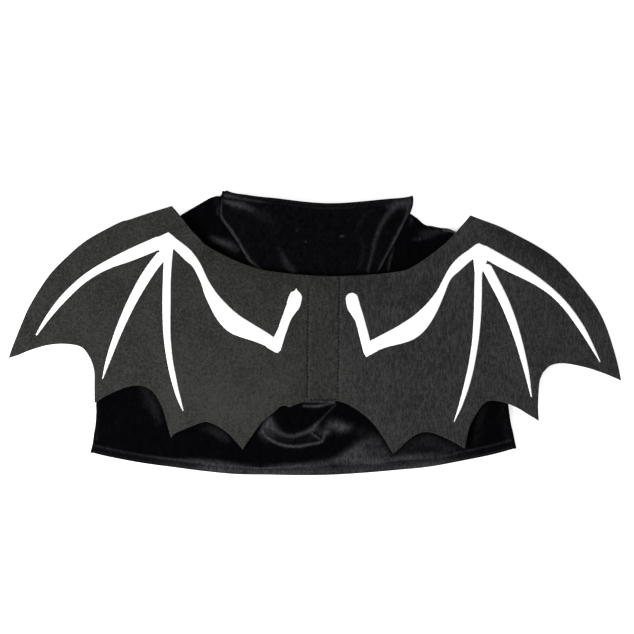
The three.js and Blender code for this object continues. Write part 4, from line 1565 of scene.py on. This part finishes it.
def capelet() -> VelvetTube:
    """The velvet capelet that the felt is sewn to."""
    folds = (Edge(LEFT_FOLD), Edge(RIGHT_FOLD))
    return VelvetTube(
        name="velvet_cape",
        node="cape_body",
        cloth=CAPE_CLOTH,
        back=Panel(Edge(BACK_HEM), Edge(BACK_NECKLINE), folds),
        front=Panel(Edge(FRONT_HEM), Edge(FRONT_NECKLINE), folds),
        left_turn=(183.0, 150.0),
        right_turn=(-3.0, 52.0),
        roll=2.6,
        loft=((0.0, 9.3), (0.3, 9.0), (0.7, 8.8), (1.0, 8.2)),
        columns=((0.36, 110), (0.66, 150), (1.0, 110)),
        rows=((0.05, 14), (0.42, 80), (1.0, 78)),
        folds=CAPE_FOLDS,
        tone_and_painted_sheen=CAPE_PAINTED_SHEEN,
        hem_painted_sheen=CAPE_HEM_PAINTED_SHEEN,
        hem_at_top=False,
        waves=(Wave(70, 20, 0.2, 0.7), Wave(43, 75, 0.12, 2.1)),
    )


def collar() -> VelvetTube:
    """The standing collar, sewn to the neckline."""
    folds = (Edge(COLLAR_LEFT_FOLD), Edge(COLLAR_RIGHT_FOLD))
    return VelvetTube(
        name="velvet_collar",
        node="collar",
        cloth=COLLAR_CLOTH,
        back=Panel(Edge(BACK_NECKLINE, SEAM_GAP), Edge(BACK_COLLAR_TOP), folds),
        front=Panel(Edge(FRONT_NECKLINE, SEAM_GAP), Edge(FRONT_COLLAR_TOP), folds),
        left_turn=(150.0, 172.0),
        right_turn=(52.0, 25.0),
        roll=2.4,
        loft=((0.0, 8.2), (0.5, 9.4), (1.0, 10.0)),
        columns=((1.0, 260),),
        rows=((0.12, 18), (0.88, 64), (1.0, 18)),
        folds=COLLAR_FOLDS,
        tone_and_painted_sheen=COLLAR_PAINTED_SHEEN_AND_LINT,
        hem_painted_sheen=COLLAR_HEM_PAINTED_SHEEN,
        hem_at_top=True,
        waves=(Wave(58, 5, 0.15, 0.2), Wave(31, 85, 0.08, 1.3)),
        ground_tone=0.018,
        seam_rise=0.8,
    )


# Materials

NOISE_MEAN = 0.5


@dataclass(frozen=True)
class Grain:
    """A noise on Object coordinates: its scale for each axis, detail and roughness."""

    scale: tuple[float, float, float]
    detail: float
    roughness: float


@dataclass(frozen=True)
class Relief:
    """A bump: its strength, and its depth in metres."""

    strength: float
    depth: float


class Field:
    """A value in a shader tree; arithmetic on it adds Math nodes."""

    def __init__(self, tree: "ShaderTree", socket: bpy.types.NodeSocket) -> None:
        """Wraps a socket of the tree."""
        self.tree = tree
        self.socket = socket

    def math(self, operation: str, left: "Field | float", right: "Field | float") -> "Field":
        """A Math node of the two values."""
        return self.tree.value("ShaderNodeMath", {"operation": operation}, {0: left, 1: right})

    def __add__(self, other: "Field | float") -> "Field":
        """Sum."""
        return self.math("ADD", self, other)

    __radd__ = __add__

    def __sub__(self, other: "Field | float") -> "Field":
        """Difference."""
        return self.math("SUBTRACT", self, other)

    def __rsub__(self, other: float) -> "Field":
        """Difference from a number."""
        return self.math("SUBTRACT", other, self)

    def __mul__(self, other: "Field | float") -> "Field":
        """Product."""
        return self.math("MULTIPLY", self, other)

    __rmul__ = __mul__


class ShaderTree:
    """A material's nodes."""

    def __init__(self, name: str) -> None:
        """Starts an empty material."""
        self.material = bpy.data.materials.new(name)
        self.material.use_nodes = True
        self.nodes = self.material.node_tree.nodes
        self.links = self.material.node_tree.links
        self.nodes.clear()

    def node(self, kind: str, settings: dict, inputs: dict) -> bpy.types.Node:
        """Adds a node.

        Args:
            kind: The node's type.
            settings: Properties, set first.
            inputs: Values or links of its sockets, by name or number.

        Returns:
            The node.
        """
        node = self.nodes.new(kind)
        for key, value in settings.items():
            setattr(node, key, value)
        for key, value in inputs.items():
            if isinstance(value, Field):
                self.links.new(value.socket, node.inputs[key])
            else:
                node.inputs[key].default_value = value
        return node

    def value(self, kind: str, settings: dict, inputs: dict, output: int | str = 0) -> Field:
        """Adds a node and wraps one of its outputs."""
        return Field(self, self.node(kind, settings, inputs).outputs[output])

    def attribute(self, name: str) -> Field:
        """A vertex attribute of the piece."""
        return self.value("ShaderNodeAttribute", {"attribute_name": name}, {}, "Fac")

    def noise(self, grain: Grain) -> Field:
        """Noise on Object coordinates times a scale for each axis, about a half on average."""
        where = self.value("ShaderNodeTexCoord", {}, {}, "Object")
        place = self.value("ShaderNodeVectorMath", {"operation": "MULTIPLY"}, {0: where, 1: grain.scale})
        inputs = {"Vector": place, "Scale": 1.0, "Detail": grain.detail, "Roughness": grain.roughness}
        return self.value("ShaderNodeTexNoise", {}, inputs)

    def lines(self, grain: Grain, sharpness: float) -> Field:
        """Thin winding lines: one where a noise crosses a half, falling to nothing beside it."""
        away = self.value("ShaderNodeMath", {"operation": "ABSOLUTE"}, {0: self.noise(grain) - NOISE_MEAN})
        settings = {"operation": "SUBTRACT", "use_clamp": True}
        return self.value("ShaderNodeMath", settings, {0: 1.0, 1: away * sharpness})

    def mix(self, share: Field, low: Colour | Field, high: Colour | Field) -> Field:
        """Colour blended from low to high by the share."""
        settings = {"data_type": "RGBA", "clamp_factor": True}
        return self.value("ShaderNodeMix", settings, {0: share, 6: low, 7: high}, 2)

    def bump(self, height: Field, relief: Relief) -> Field:
        """Normal pushed by a height."""
        inputs = {"Height": height, "Strength": relief.strength, "Distance": relief.depth}
        return self.value("ShaderNodeBump", {}, inputs)

    def surface(self, inputs: dict) -> Material:
        """Ends the tree in a Principled shader with these inputs."""
        shader = self.value("ShaderNodeBsdfPrincipled", {}, inputs)
        self.node("ShaderNodeOutputMaterial", {}, {"Surface": shader})
        return self.material


def rgba(red: float, green: float, blue: float) -> Colour:
    """Opaque colour."""
    return (red, green, blue, 1.0)


@dataclass(frozen=True)
class FeltFinish:
    """Charcoal needle felt: fibres matted at the left and combed upright at the right, with speckle."""

    dark: Colour = rgba(0.0092, 0.0092, 0.0086)
    light: Colour = rgba(0.0328, 0.0332, 0.0311)
    cool_dark: Colour = rgba(0.009, 0.0092, 0.009)
    cool_light: Colour = rgba(0.0325, 0.0332, 0.0326)
    cool_from: float = 0.7
    cool_gain: float = 3.3
    matted: Grain = Grain((620.0, 520.0, 500.0), 3.0, 0.5)
    combed: Grain = Grain((820.0, 180.0, 500.0), 5.0, 0.65)
    speckle: Grain = Grain((950.0, 850.0, 950.0), 2.0, 0.5)
    mottle: Grain = Grain((55.0, 40.0, 55.0), 2.0, 0.5)
    hair: Grain = Grain((230.0, 190.0, 230.0), 1.0, 0.5)
    hair_patch: Grain = Grain((110.0, 90.0, 110.0), 1.0, 0.5)
    hair_sharpness: float = 16.0
    patch_sharpness: float = 4.0
    streak_weight: float = 0.52
    streak_combed: float = 0.45
    speckle_weight: float = 0.4
    speckle_combed: float = 0.12
    mottle_weight: float = 0.2
    contrast: float = 3.7
    hair_weight: float = 0.55
    ground: float = 0.44
    streak_relief: float = 0.6
    speckle_relief: float = 0.4
    relief: Relief = Relief(0.5, 0.0005)

    def material(self) -> Material:
        """Fibres, and the painted light and tone attribute, mix the two greys; the fibres raise the surface.

        Returns:
            The felt's material.
        """
        tree = ShaderTree("charcoal_felt")
        # Painted shade and highlight on the stitch rows' flanks, lint, and lighter and darker areas
        painted_light_and_tone = tree.attribute("painted_light_and_tone")
        lie = tree.attribute("lie")
        matted = tree.noise(self.matted)
        streaks = matted + (tree.noise(self.combed) - matted) * lie
        speckle = tree.noise(self.speckle)
        mottle = tree.noise(self.mottle)
        fibres = (streaks - NOISE_MEAN) * (lie * self.streak_combed + self.streak_weight)
        specks = (speckle - NOISE_MEAN) * (lie * self.speckle_combed + self.speckle_weight)
        grain = fibres + specks + (mottle - NOISE_MEAN) * self.mottle_weight
        hairs = tree.lines(self.hair, self.hair_sharpness) * tree.lines(self.hair_patch, self.patch_sharpness)
        share = grain * self.contrast + hairs * self.hair_weight + painted_light_and_tone + self.ground
        warm = tree.mix(share, self.dark, self.light)
        cool = tree.mix(share, self.cool_dark, self.cool_light)
        raised = streaks * self.streak_relief + speckle * self.speckle_relief
        return tree.surface(
            {
                "Base Color": tree.mix((lie - self.cool_from) * self.cool_gain, warm, cool),
                "Roughness": 0.95,
                "Normal": tree.bump(raised, self.relief),
                "Specular IOR Level": 0.1,
                "Sheen Weight": 0.08,
                "Sheen Roughness": 0.6,
                "Sheen Tint": rgba(0.8, 0.82, 0.78),
            }
        )


@dataclass(frozen=True)
class PrintFinish:
    """Opaque white screen print that follows the felt's fibres a little."""

    white: Colour = rgba(0.985, 0.985, 0.98)
    worn: Colour = rgba(0.93, 0.93, 0.92)
    fibres: Grain = Grain((900.0, 240.0, 500.0), 4.0, 0.6)
    worn_from: float = 0.62
    worn_gain: float = 3.0
    relief: Relief = Relief(0.12, 0.0003)

    def material(self) -> Material:
        """A faint fibre grain in the white and its relief.

        Returns:
            The print's material.
        """
        tree = ShaderTree("white_print")
        fibres = tree.noise(self.fibres)
        return tree.surface(
            {
                "Base Color": tree.mix((fibres - self.worn_from) * self.worn_gain, self.white, self.worn),
                "Roughness": 0.62,
                "Normal": tree.bump(fibres, self.relief),
                "Specular IOR Level": 0.35,
            }
        )


@dataclass(frozen=True)
class VelvetFinish:
    """Short-pile black velvet: near black face on, with a cool sheen painted into its colour where it turns
    and where marked.
    """

    deep: Colour = rgba(0.0006, 0.0006, 0.001)
    # Colour that the painted sheen lightens towards
    sheen_tone: Colour = rgba(0.054, 0.054, 0.0575)
    tint: Colour = rgba(0.82, 0.84, 1.0)
    pile: Grain = Grain((850.0, 330.0, 850.0), 4.0, 0.65)
    clump: Grain = Grain((210.0, 160.0, 210.0), 3.0, 0.55)
    relief: Relief = Relief(0.3, 0.0004)
    facing_blend: float = 0.5
    turned_from: float = 0.05
    turned_to: float = 0.6
    turned_weight: float = 0.2
    pile_contrast: float = 3.6
    clump_contrast: float = 1.0
    pile_floor: float = 0.42
    pile_glow: float = 0.06
    clump_glow: float = 0.05

    def material(self) -> Material:
        """Painted sheen: the colour lightens where the surface turns from the eye and where the tone and
        painted sheen attribute marks it.

        Returns:
            The velvet's material.
        """
        tree = ShaderTree("black_velvet")
        tone_and_painted_sheen = tree.attribute("tone_and_painted_sheen")
        pile = tree.noise(self.pile)
        clump = tree.noise(self.clump)
        normal = tree.bump(pile, self.relief)
        view = {"Blend": self.facing_blend, "Normal": normal}
        facing = tree.value("ShaderNodeLayerWeight", {}, view, "Facing")
        limits = {"Value": facing, "From Min": self.turned_from, "From Max": self.turned_to}
        turned = tree.value("ShaderNodeMapRange", {"interpolation_type": "SMOOTHSTEP"}, limits)
        grain = (pile - NOISE_MEAN) * self.pile_contrast + (clump - NOISE_MEAN) * self.clump_contrast + 1.0
        glow = (pile - self.pile_floor) * self.pile_glow + (clump - NOISE_MEAN) * self.clump_glow
        # Painted sheen: the marked attribute and the turn from the eye lighten the colour
        share = (tone_and_painted_sheen + turned * self.turned_weight) * grain + glow
        return tree.surface(
            {
                "Base Color": tree.mix(share, self.deep, self.sheen_tone),
                "Roughness": 0.9,
                "Normal": normal,
                "Specular IOR Level": 0.02,
                "Sheen Weight": 0.01,
                "Sheen Roughness": 0.3,
                "Sheen Tint": self.tint,
            }
        )


@dataclass(frozen=True)
class ThreadFinish:
    """Sewing thread, or a loose fibre, with its twist."""

    name: str
    dark: Colour
    light: Colour
    twist: Grain = Grain((2600.0, 2600.0, 2600.0), 2.0, 0.5)
    light_from: float = 0.35
    light_gain: float = 3.0
    relief: Relief = Relief(0.3, 0.0002)

    def material(self) -> Material:
        """A fine twist mixes two tones of the thread.

        Returns:
            The thread's material.
        """
        tree = ShaderTree(self.name)
        twist = tree.noise(self.twist)
        return tree.surface(
            {
                "Base Color": tree.mix((twist - self.light_from) * self.light_gain, self.dark, self.light),
                "Roughness": 0.8,
                "Normal": tree.bump(twist, self.relief),
                "Specular IOR Level": 0.08,
            }
        )


FELT_THREAD = ThreadFinish("felt_thread", rgba(0.003, 0.003, 0.003), rgba(0.009, 0.009, 0.009))
VELVET_THREAD = ThreadFinish("velvet_thread", rgba(0.003, 0.003, 0.004), rgba(0.009, 0.009, 0.011))
LOOSE_PILE = ThreadFinish("loose_pile", rgba(0.05, 0.047, 0.044), rgba(0.11, 0.105, 0.1))


@dataclass(frozen=True)
class FloorFinish:
    """White studio floor, lit from within so that it stays white round the cloth."""

    white: Colour = rgba(0.9, 0.9, 0.9)
    pale: Colour = rgba(0.92, 0.92, 0.92)
    paper: Grain = Grain((300.0, 300.0, 300.0), 2.0, 0.5)
    glow: float = 0.7

    def material(self) -> Material:
        """White with an even glow and a faint paper grain.

        Returns:
            The floor's material.
        """
        tree = ShaderTree("white_floor")
        return tree.surface(
            {
                "Base Color": tree.mix(tree.noise(self.paper), self.white, self.pale),
                "Roughness": 0.9,
                "Specular IOR Level": 0.0,
                "Emission Color": self.white,
                "Emission Strength": self.glow,
            }
        )


# Studio


@dataclass(frozen=True)
class Lamp:
    """A square lamp that faces the costume: its place and size in metres, and its power in watts."""

    name: str
    place: tuple[float, float, float]
    size: float
    power: float

    def build(self) -> None:
        """Hangs the lamp in the scene."""
        data = bpy.data.lights.new(self.name, "AREA")
        data.size = self.size
        data.energy = self.power
        lamp = bpy.data.objects.new(self.name, data)
        lamp.location = self.place
        lamp.rotation_mode = "QUATERNION"
        lamp.rotation_quaternion = lamp.location.to_track_quat("Z", "Y")
        bpy.context.scene.collection.objects.link(lamp)


@dataclass
class Studio:
    """Camera straight above, a white floor, soft light all round and two large lamps."""

    target: tuple[float, float, float] = (0.000112, 0.012978, 0.008)
    height: float = 6.0
    sensor: float = 36.0
    frame_width: float = LAYOUT.photo_width * LAYOUT.pixel * MM
    floor_half: float = 3.0
    floor_level: float = -0.0004
    floor_steps: int = 8
    sky: float = 0.44
    lamps: tuple[Lamp, ...] = (
        Lamp("left_lamp", (-0.85, -0.5, 0.82), 0.7, 20.0),
        Lamp("right_lamp", (1.3, 0.6, 1.5), 1.2, 7.0),
    )

    def camera(self) -> None:
        """Camera above the photograph's middle, whose view is the photograph's width at the felt's height."""
        data = bpy.data.cameras.new("camera")
        data.sensor_width = self.sensor
        data.lens = self.sensor * self.height / self.frame_width
        camera = bpy.data.objects.new("camera", data)
        camera.location = (self.target[0], self.target[1], self.target[2] + self.height)
        bpy.context.scene.collection.objects.link(camera)
        bpy.context.scene.camera = camera

    def floor(self) -> None:
        """A large even sheet under the costume, as a grid of two parameters."""
        line = np.linspace(-self.floor_half, self.floor_half, self.floor_steps + 1)
        x, y = np.meshgrid(line, line)
        points = np.stack([x, y, np.full(x.shape, self.floor_level)], axis=-1).reshape(-1, 3)
        mesh = bpy.data.meshes.new("studio_floor")
        mesh.from_pydata(points, [], strip_faces(len(line), len(line), False, False).tolist())
        mesh.materials.append(FloorFinish().material())
        floor = bpy.data.objects.new("studio_floor", mesh)
        bpy.context.scene.collection.objects.link(floor)

    def light(self) -> None:
        """An even white sky, and the lamps."""
        world = bpy.data.worlds.new("studio_sky")
        world.use_nodes = True
        sky = world.node_tree.nodes["Background"]
        sky.inputs["Color"].default_value = rgba(1.0, 1.0, 1.0)
        sky.inputs["Strength"].default_value = self.sky
        bpy.context.scene.world = world
        for lamp in self.lamps:
            lamp.build()

    def build(self) -> None:
        """Sets up the camera, the floor and the light."""
        bpy.context.scene.view_settings.view_transform = "Standard"
        self.camera()
        self.floor()
        self.light()


def main() -> None:
    """Builds the studio and then each piece, from the floor up."""
    logging.basicConfig(level=logging.INFO, format="%(message)s")
    Studio().build()
    velvet = VelvetFinish().material()
    grey_felt = FeltFinish().material()
    white_print = PrintFinish().material()
    felt_thread = FELT_THREAD.material()
    velvet_thread = VELVET_THREAD.material()
    for tube in (capelet(), collar()):
        tube.dress(tube.build(), velvet, velvet_thread)
    fuzz = FibreTuft()
    fuzz.dress(fuzz.build(), LOOSE_PILE.material())
    felt = FeltWings()
    wings = felt.build()
    felt.dress(wings, grey_felt)
    for side, pattern in ((Side.LEFT, LEFT_BONES), (Side.RIGHT, RIGHT_BONES)):
        bones = BonePrint(side, pattern, felt)
        bones.dress(bones.build(), white_print)
    felt.sew(wings, felt_thread)


if __name__ == "__main__":
    main()
